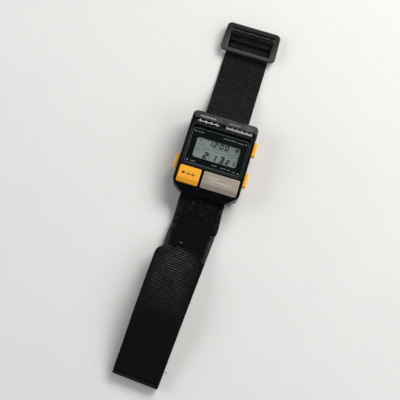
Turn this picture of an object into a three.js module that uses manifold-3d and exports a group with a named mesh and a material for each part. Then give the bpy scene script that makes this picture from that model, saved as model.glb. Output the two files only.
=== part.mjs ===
// A digital wrist watch with a pulse meter, on a two-piece nylon strap that closes with hook and loop.
// Millimetres. +X is the 3 o'clock side, +Y the 12 o'clock end and +Z the way the display faces.
// The origin is the centre of the case back, on the surface that the watch lies on.
import * as THREE from "three";
import { mergeVertices } from "three/addons/utils/BufferGeometryUtils.js";
import Module from "manifold-3d";

const wasm = await Module();
wasm.setup();

// ---- Driving dimensions -------------------------------------------------------------------------

const CASE_WIDTH = 37.4;
const CASE_TOP_Y = 23.8;
const CASE_BOTTOM_Y = -23.4;
const CASE_FRONT_Z = 11;
const CASE_UNDER_Z = 1;
const BEND_Y = -16.7; // the front turns down towards 6 o'clock from here
const FRONT_SLOPE = THREE.MathUtils.degToRad(22);

const CAVITY = { x: 15.9, low: -16.4, high: 17, roof: 7.4 };
const CRYSTAL_POCKET = { x: 17.1, low: -8.5, high: 15.9, floor: 9.1 };
const LCD_WELL = { x: 15.5, low: -7, high: 14.3 };
const MASK_WINDOW = { x: 12.4, low: -3, high: 8.8 };

const KEY_LOW_Y = -19.05; // the pulse button and the sensor plate share these two edges
const KEY_HIGH_Y = -9.6;
const KEY_PROUD = 0.3;
const PULSE_X = [-16.85, -4.75];
const SENSOR_X = [-3.35, 16.95];
const PULSE_STEM = [-9.9, -12.6];
const SENSOR_STUD = [8.5, -12.6];
const PULSE_FLOOR_Z = 8.6;
const SENSOR_FLOOR_Z = 8.9;

const BUTTON_Z = 6.2;
const BUTTON_LENGTH = 8.4;
const BUTTON_HEIGHT = 3.4;
const BUTTON_OUT_X = 20.8;
const BUTTON_IN_X = 18.1;
const BUTTON_POCKET_X = 17.2;
const BUTTON_UPPER_Y = 11.1;
const BUTTON_LOWER_Y = -7.2;
const STEM_RADIUS = 0.7;
const STEM_TIP_X = 14.4;

const BACK = { x: 17.2, low: -17.3, high: 17.5, thick: 1 };
const SCREWS = [[-13.9, -14.4], [13.9, -14.4], [13.9, 15], [-13.9, 15]];
const BOSS_RADIUS = 1.9;

const BOARD_TOP_Z = 5.2;
const BOARD_UNDER_Z = 4.4;

const STRAP_WIDTH = 25;
const LUG_HALF = 13.1; // half the gap between the lugs
const BAR_Z = 4.6;
const BAR_RADIUS = 0.8;
const UPPER_BAR_Y = 20.6;
const LOWER_BAR_Y = -20.3;

const UPPER_THICK = 1.2;
const RING = { low: 66, high: 83.7, halfLow: 16.2, halfHigh: 15.8, z0: 1.35, z1: 3.75 };
const RING_WINDOW = { x: 13.3, low: 67.85, high: 80.7 };
const RING_PIN = { y: 78.2, z: 2.05, radius: 0.7 };
const RETURN_END_Y = 73.4; // where the webbing that comes back over the ring's pin is sewn down

const WEBBING = 1.2; // thickness of the long strap's webbing
const LAYERS = { loop: [1.3, 2.2], hook: [2.35, 3.15], flap: [3.25, 4.45] }; // heights over its underside
const FOLD = { y: -124.4, radius: 2.225 };
const TIP_Y = -53.8;
const HOOK_PAD = [-104, -55.8];
const LOOP_PAD = [-121, -38.9];
const SEWN_END_Y = -38.5; // the webbing wraps the lower bar and is sewn down as far as here
const FLAP_DRIFT = 0.035; // how far the flap moves to the side for each step towards its tip
const YAW = { start: -36, length: 8, angle: THREE.MathUtils.degToRad(3.9) };

// ---- Materials ----------------------------------------------------------------------------------

const paint = (color, roughness, metalness = 0) =>
  new THREE.MeshStandardMaterial({ color, roughness, metalness });
const MATERIALS = {
  caseResin: paint(0x17181a, 0.45),
  trimMetal: paint(0x8b8d90, 0.35, 1),
  glass: paint(0x20262a, 0.05),
  rubber: paint(0x101011, 0.8),
  maskPrint: paint(0x0b0c0e, 0.4),
  lcd: paint(0x9aa394, 0.25),
  zebra: paint(0xb9a8a0, 0.7),
  framePlastic: paint(0xd9d6cc, 0.6),
  board: paint(0x1f5a3a, 0.5),
  chip: paint(0x141416, 0.5),
  steel: paint(0xb9bbbd, 0.3, 1),
  brass: paint(0xc2a15a, 0.35, 1),
  sensorSteel: paint(0xa79f96, 0.35, 1),
  yellow: paint(0xf2b51d, 0.45),
  webbing: paint(0x141415, 0.9),
  hookLoop: paint(0x0f0f10, 1),
  ringPlastic: paint(0x2a2e2c, 0.3),
};

// ---- Solids -------------------------------------------------------------------------------------

function solid(geometry) {
  const source = geometry.index ? geometry.toNonIndexed() : geometry;
  const bare = new THREE.BufferGeometry().setAttribute("position", source.getAttribute("position"));
  const merged = mergeVertices(bare, 1e-4);
  return new wasm.Manifold(
    new wasm.Mesh({
      numProp: 3,
      vertProperties: merged.attributes.position.array,
      triVerts: new Uint32Array(merged.index.array),
    }),
  );
}

function geometryOf(manifold) {
  const mesh = manifold.getMesh();
  const positions = new Float32Array(mesh.numVert * 3);
  for (let i = 0; i < mesh.numVert; i++) {
    positions.set(mesh.vertProperties.subarray(i * mesh.numProp, i * mesh.numProp + 3), i * 3);
  }
  return new THREE.BufferGeometry()
    .setAttribute("position", new THREE.BufferAttribute(positions, 3))
    .setIndex(new THREE.BufferAttribute(new Uint32Array(mesh.triVerts), 1));
}

function join(...geometries) {
  return geometryOf(geometries.map(solid).reduce((a, b) => a.add(b)));
}

function cut(geometry, ...tools) {
  return geometryOf(tools.map(solid).reduce((a, b) => a.subtract(b), solid(geometry)));
}

function common(...geometries) {
  return geometryOf(geometries.map(solid).reduce((a, b) => a.intersect(b)));
}

function box(x0, x1, y0, y1, z0, z1) {
  const middle = [(x0 + x1) / 2, (y0 + y1) / 2, (z0 + z1) / 2];
  return new THREE.BoxGeometry(x1 - x0, y1 - y0, z1 - z0).translate(...middle);
}

function cylinderX(radius, x0, x1, y, z, sides = 16) {
  return new THREE.CylinderGeometry(radius, radius, Math.abs(x1 - x0), sides)
    .rotateZ(Math.PI / 2)
    .translate((x0 + x1) / 2, y, z);
}

function cylinderZ(radius, x, y, z0, z1, sides = 16) {
  return new THREE.CylinderGeometry(radius, radius, z1 - z0, sides)
    .rotateX(Math.PI / 2)
    .translate(x, y, (z0 + z1) / 2);
}

function roundedRect(x0, x1, y0, y1, r) {
  const shape = new THREE.Shape();
  shape.absarc(x1 - r, y1 - r, r, 0, Math.PI / 2);
  shape.absarc(x0 + r, y1 - r, r, Math.PI / 2, Math.PI);
  shape.absarc(x0 + r, y0 + r, r, Math.PI, 1.5 * Math.PI);
  shape.absarc(x1 - r, y0 + r, r, 1.5 * Math.PI, 2 * Math.PI);
  return shape;
}

// A plan outline, raised from z0 to z1.
function plate(shape, z0, z1, curveSegments = 4) {
  const settings = { depth: z1 - z0, bevelEnabled: false, curveSegments };
  return new THREE.ExtrudeGeometry(shape, settings).translate(0, 0, z0);
}

// A side outline, whose two numbers are Y and Z, stretched from x0 to x1.
function across(shape, x0, x1, curveSegments = 6) {
  const turn = new THREE.Matrix4().makeBasis(
    new THREE.Vector3(0, 1, 0),
    new THREE.Vector3(0, 0, 1),
    new THREE.Vector3(1, 0, 0),
  );
  return new THREE.ExtrudeGeometry(shape, { depth: x1 - x0, bevelEnabled: false, curveSegments })
    .applyMatrix4(turn)
    .translate(x0, 0, 0);
}

// An end outline, whose two numbers are X and Z, stretched from y0 to y1.
function along(shape, y0, y1, curveSegments = 4) {
  const turn = new THREE.Matrix4().makeBasis(
    new THREE.Vector3(1, 0, 0),
    new THREE.Vector3(0, 0, 1),
    new THREE.Vector3(0, -1, 0),
  );
  return new THREE.ExtrudeGeometry(shape, { depth: y1 - y0, bevelEnabled: false, curveSegments })
    .applyMatrix4(turn)
    .translate(0, y1, 0);
}

function polygon(points) {
  return new THREE.Shape(points.map(([a, b]) => new THREE.Vector2(a, b)));
}

// A coil spring of round wire, its axis along Z from z = 0.
function coil(radius, wire, turns, length) {
  class Helix extends THREE.Curve {
    getPoint(t) {
      const a = 2 * Math.PI * turns * t;
      return new THREE.Vector3(radius * Math.cos(a), radius * Math.sin(a), wire + (length - 2 * wire) * t);
    }
  }
  const sides = 4;
  const ring = Array.from({ length: sides }, (_, i) => {
    const a = (2 * Math.PI * i) / sides;
    return [wire * Math.cos(a), wire * Math.sin(a)];
  });
  return new THREE.ExtrudeGeometry(polygon(ring), { steps: Math.round(turns * 9), extrudePath: new Helix() });
}

// A flat ring with a slot in one side, its axis along Z.
function openRing(inner, outer, z0, z1) {
  const ring = cut(cylinderZ(outer, 0, 0, z0, z1), cylinderZ(inner, 0, 0, z0 - 1, z1 + 1));
  return cut(ring, box(0, outer + 1, -0.8 * inner, 0.8 * inner, z0 - 1, z1 + 1));
}

const toX = (geometry, side) => geometry.rotateY((side * Math.PI) / 2);

// ---- The case -----------------------------------------------------------------------------------

// Height of the front face over the table, at a place along the watch.
function frontZ(y) {
  return CASE_FRONT_Z - Math.max(0, BEND_Y - y) * Math.tan(FRONT_SLOPE);
}

function caseOutline() {
  const half = CASE_WIDTH / 2;
  const top = 3.4;
  const low = 4.5;
  const shoulder = -16.8; // the sides start to turn in here
  const shape = new THREE.Shape();
  shape.absarc(half - top, CASE_TOP_Y - top, top, 0, Math.PI / 2);
  shape.absarc(top - half, CASE_TOP_Y - top, top, Math.PI / 2, Math.PI);
  shape.absarc(low - half, shoulder, low, Math.PI, (4 * Math.PI) / 3);
  shape.lineTo(-12.9, CASE_BOTTOM_Y);
  shape.lineTo(12.9, CASE_BOTTOM_Y);
  shape.absarc(half - low, shoulder, low, -Math.PI / 3, 0);
  return shape;
}

function caseSideOutline() {
  return polygon([
    [BACK.low - 0.2, CASE_UNDER_Z],
    [BACK.high + 0.2, CASE_UNDER_Z],
    [CASE_TOP_Y, 3.4],
    [CASE_TOP_Y, 8.9],
    [23.3, 9.5],
    [18.8, CASE_FRONT_Z],
    [BEND_Y, CASE_FRONT_Z],
    [CASE_BOTTOM_Y + 0.4, frontZ(CASE_BOTTOM_Y)],
    [CASE_BOTTOM_Y, frontZ(CASE_BOTTOM_Y) - 0.6],
    [CASE_BOTTOM_Y, 3.6],
  ]);
}

function caseEndOutline() {
  const half = CASE_WIDTH / 2;
  const round = 0.9;
  const shape = new THREE.Shape();
  shape.moveTo(-17.5, CASE_UNDER_Z);
  shape.lineTo(17.5, CASE_UNDER_Z);
  shape.lineTo(half, 3.6);
  shape.absarc(half - round, CASE_FRONT_Z - round, round, 0, Math.PI / 2);
  shape.absarc(round - half, CASE_FRONT_Z - round, round, Math.PI / 2, Math.PI);
  shape.lineTo(-half, 3.6);
  return shape;
}

function strapRecess(wallY, endY) {
  return box(-LUG_HALF, LUG_HALF, Math.min(wallY, endY), Math.max(wallY, endY), 0, 7.05);
}

function buttonPocket(side, y) {
  const x = [side * BUTTON_POCKET_X, side * (CASE_WIDTH / 2 + 2)].sort((a, b) => a - b);
  const halfY = BUTTON_LENGTH / 2 + 0.2;
  const halfZ = BUTTON_HEIGHT / 2 + 0.2;
  return box(x[0], x[1], y - halfY, y + halfY, BUTTON_Z - halfZ, BUTTON_Z + halfZ);
}

// The bore for a push button's stem, with the wider seat for its seal on the inside.
function stemBore(side, y) {
  return join(
    cylinderX(STEM_RADIUS + 0.12, side * 14, side * 20, y, BUTTON_Z),
    cylinderX(1.3, side * 15, side * (CAVITY.x + 0.6), y, BUTTON_Z),
  );
}

function keyPocket(x, gap, floorZ) {
  return plate(roundedRect(x[0] - gap, x[1] + gap, KEY_LOW_Y - gap, KEY_HIGH_Y + gap, 0.9), floorZ, 12);
}

function trimFacet(low, high) {
  return polygon([
    [18.9, 11 + low],
    [23.35, 9.48 + low],
    [23.35, 9.48 + high],
    [18.9, 11 + high],
  ]);
}

function caseBody() {
  const outer = common(
    plate(caseOutline(), 0, 12, 5),
    across(caseSideOutline(), -20, 20),
    along(caseEndOutline(), -30, 30, 4),
  );
  const bosses = SCREWS.map(([x, y]) => cylinderZ(BOSS_RADIUS, x, y, 1, CAVITY.roof, 12));
  const cavity = cut(
    plate(roundedRect(-CAVITY.x, CAVITY.x, CAVITY.low, CAVITY.high, 1.5), 0, CAVITY.roof, 3),
    ...bosses,
    ...SCREWS.map(([x, y]) => box(Math.min(x, 3 * x), Math.max(x, 3 * x), y - 1.9, y + 1.9, 1, 8)),
  );
  const p = CRYSTAL_POCKET;
  const holes = [
    cavity,
    plate(roundedRect(-p.x, p.x, p.low, p.high, 1.6), p.floor, 12),
    box(-LCD_WELL.x, LCD_WELL.x, LCD_WELL.low, LCD_WELL.high, 7, 10),
    keyPocket(PULSE_X, 0.15, PULSE_FLOOR_Z),
    keyPocket(SENSOR_X, 0.05, SENSOR_FLOOR_Z),
    cylinderZ(1.15, ...PULSE_STEM, 6, 9),
    cylinderZ(1.75, ...PULSE_STEM, 6, CAVITY.roof + 0.6),
    cylinderZ(1.45, ...SENSOR_STUD, 6, 10),
    strapRecess(18.1, 30),
    strapRecess(-17.9, -30),
    cylinderX(BAR_RADIUS + 0.05, -14.5, 14.5, UPPER_BAR_Y, BAR_Z),
    cylinderX(BAR_RADIUS + 0.05, -14.5, 14.5, LOWER_BAR_Y, BAR_Z),
    buttonPocket(1, BUTTON_UPPER_Y),
    buttonPocket(1, BUTTON_LOWER_Y),
    buttonPocket(-1, BUTTON_LOWER_Y),
    cylinderX(1.35, -BUTTON_POCKET_X, -20, BUTTON_UPPER_Y, BUTTON_Z),
    stemBore(1, BUTTON_UPPER_Y),
    stemBore(1, BUTTON_LOWER_Y),
    stemBore(-1, BUTTON_LOWER_Y),
    stemBore(-1, BUTTON_UPPER_Y),
    ...SCREWS.map(([x, y]) => cylinderZ(0.75, x, y, 0, 5, 10)),
    gasketRing(16.05, 16.95, 0.9, 1.55),
    common(across(trimFacet(-0.5, 2), -20, 20), plate(trimPlan(0.05), 0, 14)),
  ];
  return cut(outer, ...holes);
}

function trimPlan(gap) {
  return roundedRect(-17.9 - gap, 17.9 + gap, 18.9 - gap, 23.3 + gap, 1.9);
}

function topTrim() {
  return common(across(trimFacet(-0.42, 0.12), -20, 20), plate(trimPlan(0), 0, 14));
}

function gasketRing(inner, outer, z0, z1) {
  const grow = (by) => roundedRect(-by, by, CAVITY.low - (by - CAVITY.x), CAVITY.high + (by - CAVITY.x), 1.8);
  return cut(plate(grow(outer), z0, z1, 3), plate(grow(inner), z0 - 1, z1 + 1, 3));
}

function caseBack() {
  const sheet = plate(roundedRect(-BACK.x, BACK.x, BACK.low, BACK.high, 2.6), 0, BACK.thick);
  const holes = SCREWS.flatMap(([x, y]) => [
    cylinderZ(1.62, x, y, -1, 0.62, 14),
    cylinderZ(0.8, x, y, -1, 2, 10),
  ]);
  return cut(sheet, ...holes);
}

function backScrew() {
  const body = join(cylinderZ(1.5, 0, 0, 0.08, 0.56, 12), cylinderZ(0.68, 0, 0, 0.3, 4.6, 8));
  return cut(body, box(-1.1, 1.1, -0.2, 0.2, 0, 0.3), box(-0.2, 0.2, -1.1, 1.1, 0, 0.3));
}

// ---- The display --------------------------------------------------------------------------------

function crystal() {
  return plate(roundedRect(-16.6, 16.6, -8, 15.4, 1.2), 9.5, CASE_FRONT_Z + 0.06);
}

function crystalGasket() {
  const outer = plate(roundedRect(-17.02, 17.02, -8.42, 15.82, 1.6), 9.45, CASE_FRONT_Z - 0.12);
  return cut(outer, plate(roundedRect(-16.65, 16.65, -8.05, 15.45, 1.25), 8, 12));
}

function displayMask() {
  const sheet = plate(roundedRect(-17, 17, -8.4, 15.8, 1.4), 9.15, 9.4);
  const w = MASK_WINDOW;
  return cut(sheet, plate(roundedRect(-w.x, w.x, w.low, w.high, 1.3), 8, 10));
}

function moduleFrame() {
  const sheet = box(-13.2, 13.2, -8.2, 14.7, 5.45, 7.3);
  return cut(
    sheet,
    box(-10.7, 10.7, 12.25, 13.95, 5, 8),
    box(-10.7, 10.7, -6.55, -4.95, 5, 8),
    box(-9, 9, -2.5, 9.5, 5, 6.4),
    ...SCREWS.map(([x, y]) => cylinderZ(BOSS_RADIUS + 0.3, x, y, 5, 8, 12)),
  );
}

// ---- The works ----------------------------------------------------------------------------------

const BATTERY = { x: 3.3, y: 4.2, radius: 10, z0: 1.95, z1: 3.55 };

function circuitBoard() {
  return cut(
    box(-13.4, 13.4, -14.2, 14.6, BOARD_UNDER_Z, BOARD_TOP_Z),
    ...SCREWS.map(([x, y]) => cylinderZ(BOSS_RADIUS + 0.3, x, y, 4, 6, 12)),
  );
}

function batteryShape() {
  const { x, y, radius, z0, z1 } = BATTERY;
  return join(
    cylinderZ(radius, x, y, z0, z1 - 0.35, 36),
    cylinderZ(radius - 1.3, x, y, z0 + 0.5, z1, 36),
  );
}

function batteryClamp() {
  const { x, y } = BATTERY;
  return join(
    box(x - 11.6, x + 11.6, y - 2, y + 2, 1.5, 1.8),
    box(x - 11.6, x - 11.2, y - 2, y + 2, 1.5, BOARD_UNDER_Z - 0.05),
    box(x + 11.2, x + 11.6, y - 2, y + 2, 1.5, BOARD_UNDER_Z - 0.05),
  );
}

function batteryContact() {
  const { x, y, z1 } = BATTERY;
  const leaf = polygon([
    [y - 4, BOARD_UNDER_Z - 0.05],
    [y - 4, BOARD_UNDER_Z - 0.25],
    [y - 1, z1 + 0.05],
    [y + 2, z1 + 0.05],
    [y + 2, z1 + 0.25],
    [y - 0.9, z1 + 0.25],
    [y - 3.2, BOARD_UNDER_Z - 0.05],
  ]);
  return across(leaf, x - 1.5, x + 1.5);
}

function chip(x, y, width, length, height) {
  const z = BOARD_UNDER_Z - 0.05;
  return box(x - width / 2, x + width / 2, y - length / 2, y + length / 2, z - height, z);
}

function quartzCan() {
  return new THREE.CylinderGeometry(1, 1, 6, 14).translate(-10.6, -7.6, BOARD_UNDER_Z - 1.06);
}

function switchDome() {
  const profile = [[0, 0], [1.6, 0], [1.5, 0.16], [1.05, 0.36], [0.5, 0.45], [0, 0.47]];
  const cap = new THREE.LatheGeometry(profile.map(([r, z]) => new THREE.Vector2(r, z)), 16);
  return cap.rotateX(Math.PI / 2).translate(PULSE_STEM[0], PULSE_STEM[1], BOARD_TOP_Z + 0.03);
}

function seal(stemRadius, wire) {
  return new THREE.TorusGeometry(stemRadius + wire + 0.03, wire, 5, 12);
}

// ---- The front keys -----------------------------------------------------------------------------

// A key's body: the plan outline under a top that follows the front face and ends in rounded edges.
function keyBody(x, underZ) {
  const proud = CASE_FRONT_Z + KEY_PROUD;
  const side = polygon([
    [KEY_LOW_Y, underZ],
    [KEY_HIGH_Y, underZ],
    [KEY_HIGH_Y, proud - 0.35],
    [KEY_HIGH_Y - 0.3, proud],
    [BEND_Y + 0.6, proud],
    [BEND_Y - 0.3, proud - 0.2],
    [KEY_LOW_Y + 0.35, frontZ(KEY_LOW_Y) + KEY_PROUD],
    [KEY_LOW_Y, frontZ(KEY_LOW_Y) - 0.1],
  ]);
  const end = polygon([
    [x[0], underZ],
    [x[1], underZ],
    [x[1], proud - 0.4],
    [x[1] - 0.35, proud],
    [x[0] + 0.35, proud],
    [x[0], proud - 0.4],
  ]);
  return common(
    plate(roundedRect(x[0], x[1], KEY_LOW_Y, KEY_HIGH_Y, 0.8), underZ - 1, 12),
    across(side, x[0] - 1, x[1] + 1),
    along(end, KEY_LOW_Y - 1, KEY_HIGH_Y + 1),
  );
}

function pulseButton() {
  const key = cut(keyBody(PULSE_X, 9.4), cylinderZ(2.4, ...PULSE_STEM, 9, 10.45));
  return join(key, cylinderZ(1, ...PULSE_STEM, 6.4, 10.6));
}

function sensorPlate() {
  return join(keyBody(SENSOR_X, 9.3), cylinderZ(1.3, ...SENSOR_STUD, 7.85, 9.6));
}

function sensorSeat() {
  const sheet = plate(roundedRect(...SENSOR_X, KEY_LOW_Y, KEY_HIGH_Y, 0.8), SENSOR_FLOOR_Z + 0.05, 9.25);
  return cut(sheet, cylinderZ(1.4, ...SENSOR_STUD, 8, 11));
}

// ---- The push buttons in the sides --------------------------------------------------------------

function sideButton(side, y) {
  const cap = new THREE.Shape();
  const round = 0.75;
  const [x0, x1] = [BUTTON_IN_X, BUTTON_OUT_X];
  cap.moveTo(x0, -BUTTON_LENGTH / 2);
  cap.absarc(x1 - round, -BUTTON_LENGTH / 2 + round, round, 1.5 * Math.PI, 2 * Math.PI);
  cap.absarc(x1 - round, BUTTON_LENGTH / 2 - round, round, 0, Math.PI / 2);
  cap.lineTo(x0, BUTTON_LENGTH / 2);
  const end = polygon([
    [x0 - 1, -BUTTON_HEIGHT / 2],
    [x1 - 0.6, -BUTTON_HEIGHT / 2],
    [x1, -BUTTON_HEIGHT / 2 + 0.6],
    [x1, BUTTON_HEIGHT / 2 - 0.6],
    [x1 - 0.6, BUTTON_HEIGHT / 2],
    [x0 - 1, BUTTON_HEIGHT / 2],
  ]);
  const body = common(plate(cap, -BUTTON_HEIGHT / 2, BUTTON_HEIGHT / 2, 3), along(end, -6, 6));
  const bored = cut(body, cylinderX(1.5, 17, 19.2, 0, 0));
  const right = join(bored, cylinderX(STEM_RADIUS, STEM_TIP_X, 19.6, 0, 0, 12));
  return (side > 0 ? right : right.rotateZ(Math.PI)).translate(0, y, BUTTON_Z);
}

function setButton() {
  return join(
    cylinderX(1.2, -18.9, -18.05, BUTTON_UPPER_Y, BUTTON_Z, 18),
    cylinderX(STEM_RADIUS, -18.4, -STEM_TIP_X, BUTTON_UPPER_Y, BUTTON_Z, 12),
  );
}

function sideClip(side, y) {
  return toX(openRing(STEM_RADIUS + 0.03, 1.15, 15.5, 15.8), side).translate(0, y, BUTTON_Z);
}

function sideSeal(side, y) {
  return toX(seal(STEM_RADIUS, 0.26).translate(0, 0, CAVITY.x + 0.29), side).translate(0, y, BUTTON_Z);
}

function sideSpring(side, y, radius, turns, length) {
  const spring = coil(radius, 0.13, turns, length).translate(0, 0, BUTTON_POCKET_X + 0.05);
  return toX(spring, side).translate(0, y, BUTTON_Z);
}

// ---- The strap ----------------------------------------------------------------------------------

const smooth = (t) => {
  const c = THREE.MathUtils.clamp(t, 0, 1);
  return c * c * (3 - 2 * c);
};

// Height of the middle of the short strap's webbing: out of the lugs, then down to the table.
function upperMiddle(y) {
  return THREE.MathUtils.lerp(BAR_Z, UPPER_THICK / 2, smooth((y - 22) / 26));
}

// Height of the underside of the long strap: down to the table, up over an arch, and down to the fold.
function lowerUnderside(y) {
  const table = -40;
  const crest = -87;
  const leave = -22;
  if (y > table) return 3.45 * (1 - smooth((leave - y) / (leave - table)));
  const arch = y > crest ? smooth((table - y) / (table - crest)) : 1 - smooth((crest - y) / (crest - FOLD.y));
  return 5.2 * arch + 0.05 * smooth((table - y) / 20);
}

// A side outline between two distances off a line given as a height for each y.
function band(height, yFrom, yTo, low, high, steps) {
  const at = (i, off) => {
    const y = THREE.MathUtils.lerp(yFrom, yTo, i / steps);
    const slope = (height(y + 0.01) - height(y - 0.01)) / 0.02;
    const long = Math.hypot(1, slope);
    return [y - (off * slope) / long, height(y) + off / long];
  };
  const under = Array.from({ length: steps + 1 }, (_, i) => at(i, low));
  const over = Array.from({ length: steps + 1 }, (_, i) => at(steps - i, high));
  return polygon([...under, ...over]);
}

function strapAcross(shape) {
  return across(shape, -STRAP_WIDTH / 2, STRAP_WIDTH / 2);
}

function upperWebbing() {
  const half = UPPER_THICK / 2;
  const pin = RING_PIN;
  const loopRadius = pin.radius + 0.1 + UPPER_THICK;
  const top = pin.z + loopRadius - half;
  const returnMiddle = (y) => THREE.MathUtils.lerp(1.5 * UPPER_THICK, top, smooth((y - 75) / 3.4));
  const body = join(
    strapAcross(band(upperMiddle, 21.4, pin.y, -half, half, 20)),
    strapAcross(band(returnMiddle, RETURN_END_Y, pin.y, -half, half, 8)),
    cylinderX(BAR_RADIUS + 0.15 + UPPER_THICK, -STRAP_WIDTH / 2, STRAP_WIDTH / 2, UPPER_BAR_Y, BAR_Z, 20),
    cylinderX(loopRadius, -STRAP_WIDTH / 2, STRAP_WIDTH / 2, pin.y, pin.z, 24),
  );
  return cut(
    body,
    cylinderX(BAR_RADIUS + 0.15, -20, 20, UPPER_BAR_Y, BAR_Z, 16),
    cylinderX(pin.radius + 0.1, -20, 20, pin.y, pin.z, 16),
  );
}

function ringOutline() {
  const corner = 2.7;
  const { low, high, halfLow, halfHigh } = RING;
  const shape = new THREE.Shape();
  shape.absarc(halfHigh - corner, high - corner, corner, 0, Math.PI / 2);
  shape.absarc(corner - halfHigh, high - corner, corner, Math.PI / 2, Math.PI);
  shape.absarc(corner - halfLow, low + corner, corner, Math.PI, 1.5 * Math.PI);
  shape.absarc(halfLow - corner, low + corner, corner, 1.5 * Math.PI, 2 * Math.PI);
  return shape;
}

function buckleRing() {
  const w = RING_WINDOW;
  const window = plate(roundedRect(-w.x, w.x, w.low, w.high, 0.8), 0, 9, 3);
  const frame = cut(plate(ringOutline(), RING.z0, RING.z1, 5), window);
  return join(frame, cylinderX(RING_PIN.radius, -w.x - 0.6, w.x + 0.6, RING_PIN.y, RING_PIN.z, 14));
}

// Turns a straight strap in its own plane by YAW.angle, over YAW.length from YAW.start on.
function yawed(x, y) {
  const gone = YAW.start - y;
  if (gone <= 0) return [x, y];
  const radius = YAW.length / YAW.angle;
  const angle = YAW.angle * Math.min(1, gone / YAW.length);
  const rest = Math.max(0, gone - YAW.length);
  const middleX = -radius * (1 - Math.cos(angle)) - rest * Math.sin(angle);
  const middleY = YAW.start - radius * Math.sin(angle) - rest * Math.cos(angle);
  return [middleX + x * Math.cos(angle), middleY - x * Math.sin(angle)];
}

// Lays a straight strap along the yawed line, its far end drifting to the side as it nears the tip.
function laid(geometry, drift = 0) {
  const p = geometry.getAttribute("position");
  for (let i = 0; i < p.count; i++) {
    const [x, y] = yawed(p.getX(i) - drift * (p.getY(i) - FOLD.y), p.getY(i));
    p.setXY(i, x, y);
  }
  return geometry;
}

function lowerWebbing() {
  const radius = BAR_RADIUS + 0.15 + WEBBING;
  const body = join(
    strapAcross(band(lowerUnderside, -21, FOLD.y + 0.3, 0, WEBBING, 36)),
    strapAcross(band(lowerUnderside, -21, SEWN_END_Y, WEBBING - 0.1, LAYERS.loop[1], 10)),
    cylinderX(radius, -STRAP_WIDTH / 2, STRAP_WIDTH / 2, LOWER_BAR_Y, BAR_Z, 20),
  );
  return laid(cut(body, cylinderX(BAR_RADIUS + 0.15, -20, 20, LOWER_BAR_Y, BAR_Z, 16)));
}

function loopPad() {
  return laid(strapAcross(band(lowerUnderside, ...LOOP_PAD, ...LAYERS.loop, 28)));
}

function tipOutline(halfWidth, endY, corner) {
  return roundedRect(-halfWidth, halfWidth, -140, endY, corner);
}

function flapWebbing() {
  const strip = strapAcross(band(lowerUnderside, FOLD.y + 0.3, TIP_Y, ...LAYERS.flap, 26));
  return laid(common(strip, plate(tipOutline(STRAP_WIDTH / 2, TIP_Y, 6), 0, 20)), FLAP_DRIFT);
}

function hookPad() {
  const strip = strapAcross(band(lowerUnderside, ...HOOK_PAD, ...LAYERS.hook, 18));
  return laid(common(strip, plate(tipOutline(STRAP_WIDTH / 2 - 1, HOOK_PAD[1], 5.2), 0, 20)), FLAP_DRIFT);
}

function foldBend() {
  const shape = new THREE.Shape();
  const z = lowerUnderside(FOLD.y) + FOLD.radius;
  shape.absarc(FOLD.y, z, FOLD.radius, Math.PI / 2, 1.5 * Math.PI);
  shape.absarc(FOLD.y, z, FOLD.radius - WEBBING, 1.5 * Math.PI, Math.PI / 2, true);
  return laid(strapAcross(shape));
}

// ---- Assembly -----------------------------------------------------------------------------------

const watch = new THREE.Group();
watch.name = "pulse_meter_watch";

function add(parent, name, geometry, material, x = 0, y = 0, z = 0) {
  const mesh = new THREE.Mesh(geometry, material);
  mesh.name = name;
  mesh.position.set(x, y, z);
  parent.add(mesh);
  return mesh;
}

const M = MATERIALS;

const head = new THREE.Group();
watch.add(head);
add(head, "case_body", caseBody(), M.caseResin);
add(head, "top_trim", topTrim(), M.trimMetal);
add(head, "case_back", caseBack(), M.steel);
add(head, "back_gasket", gasketRing(16.1, 16.9, 1.03, 1.5), M.rubber);
SCREWS.forEach(([x, y], i) => add(head, `back_screw_${i + 1}`, backScrew(), M.steel, x, y));
add(head, "sensor_plate", sensorPlate(), M.sensorSteel);
add(head, "sensor_seat", sensorSeat(), M.rubber);
add(head, "upper_strap_bar", cylinderX(BAR_RADIUS, -14.4, 14.4, 0, 0, 14), M.steel, 0, UPPER_BAR_Y, BAR_Z);
add(head, "lower_strap_bar", cylinderX(BAR_RADIUS, -14.4, 14.4, 0, 0, 14), M.steel, 0, LOWER_BAR_Y, BAR_Z);

const display = new THREE.Group();
head.add(display);
add(display, "crystal", crystal(), M.glass);
add(display, "crystal_gasket", crystalGasket(), M.rubber);
add(display, "display_mask", displayMask(), M.maskPrint);
add(display, "lcd_front_glass", box(-15.2, 15.2, -6.7, 14, 8.35, 9.05), M.lcd);
add(display, "lcd_rear_glass", box(-15.2, 15.2, -4.8, 12.1, 7.6, 8.3), M.lcd);
add(display, "lcd_reflector", box(-15, 15, -4.6, 11.9, 7.4, 7.55), M.trimMetal);
add(display, "zebra_strip_upper", box(-10.5, 10.5, 12.4, 13.8, BOARD_TOP_Z + 0.05, 8.3), M.zebra);
add(display, "zebra_strip_lower", box(-10.5, 10.5, -6.4, -5.1, BOARD_TOP_Z + 0.05, 8.3), M.zebra);

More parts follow.
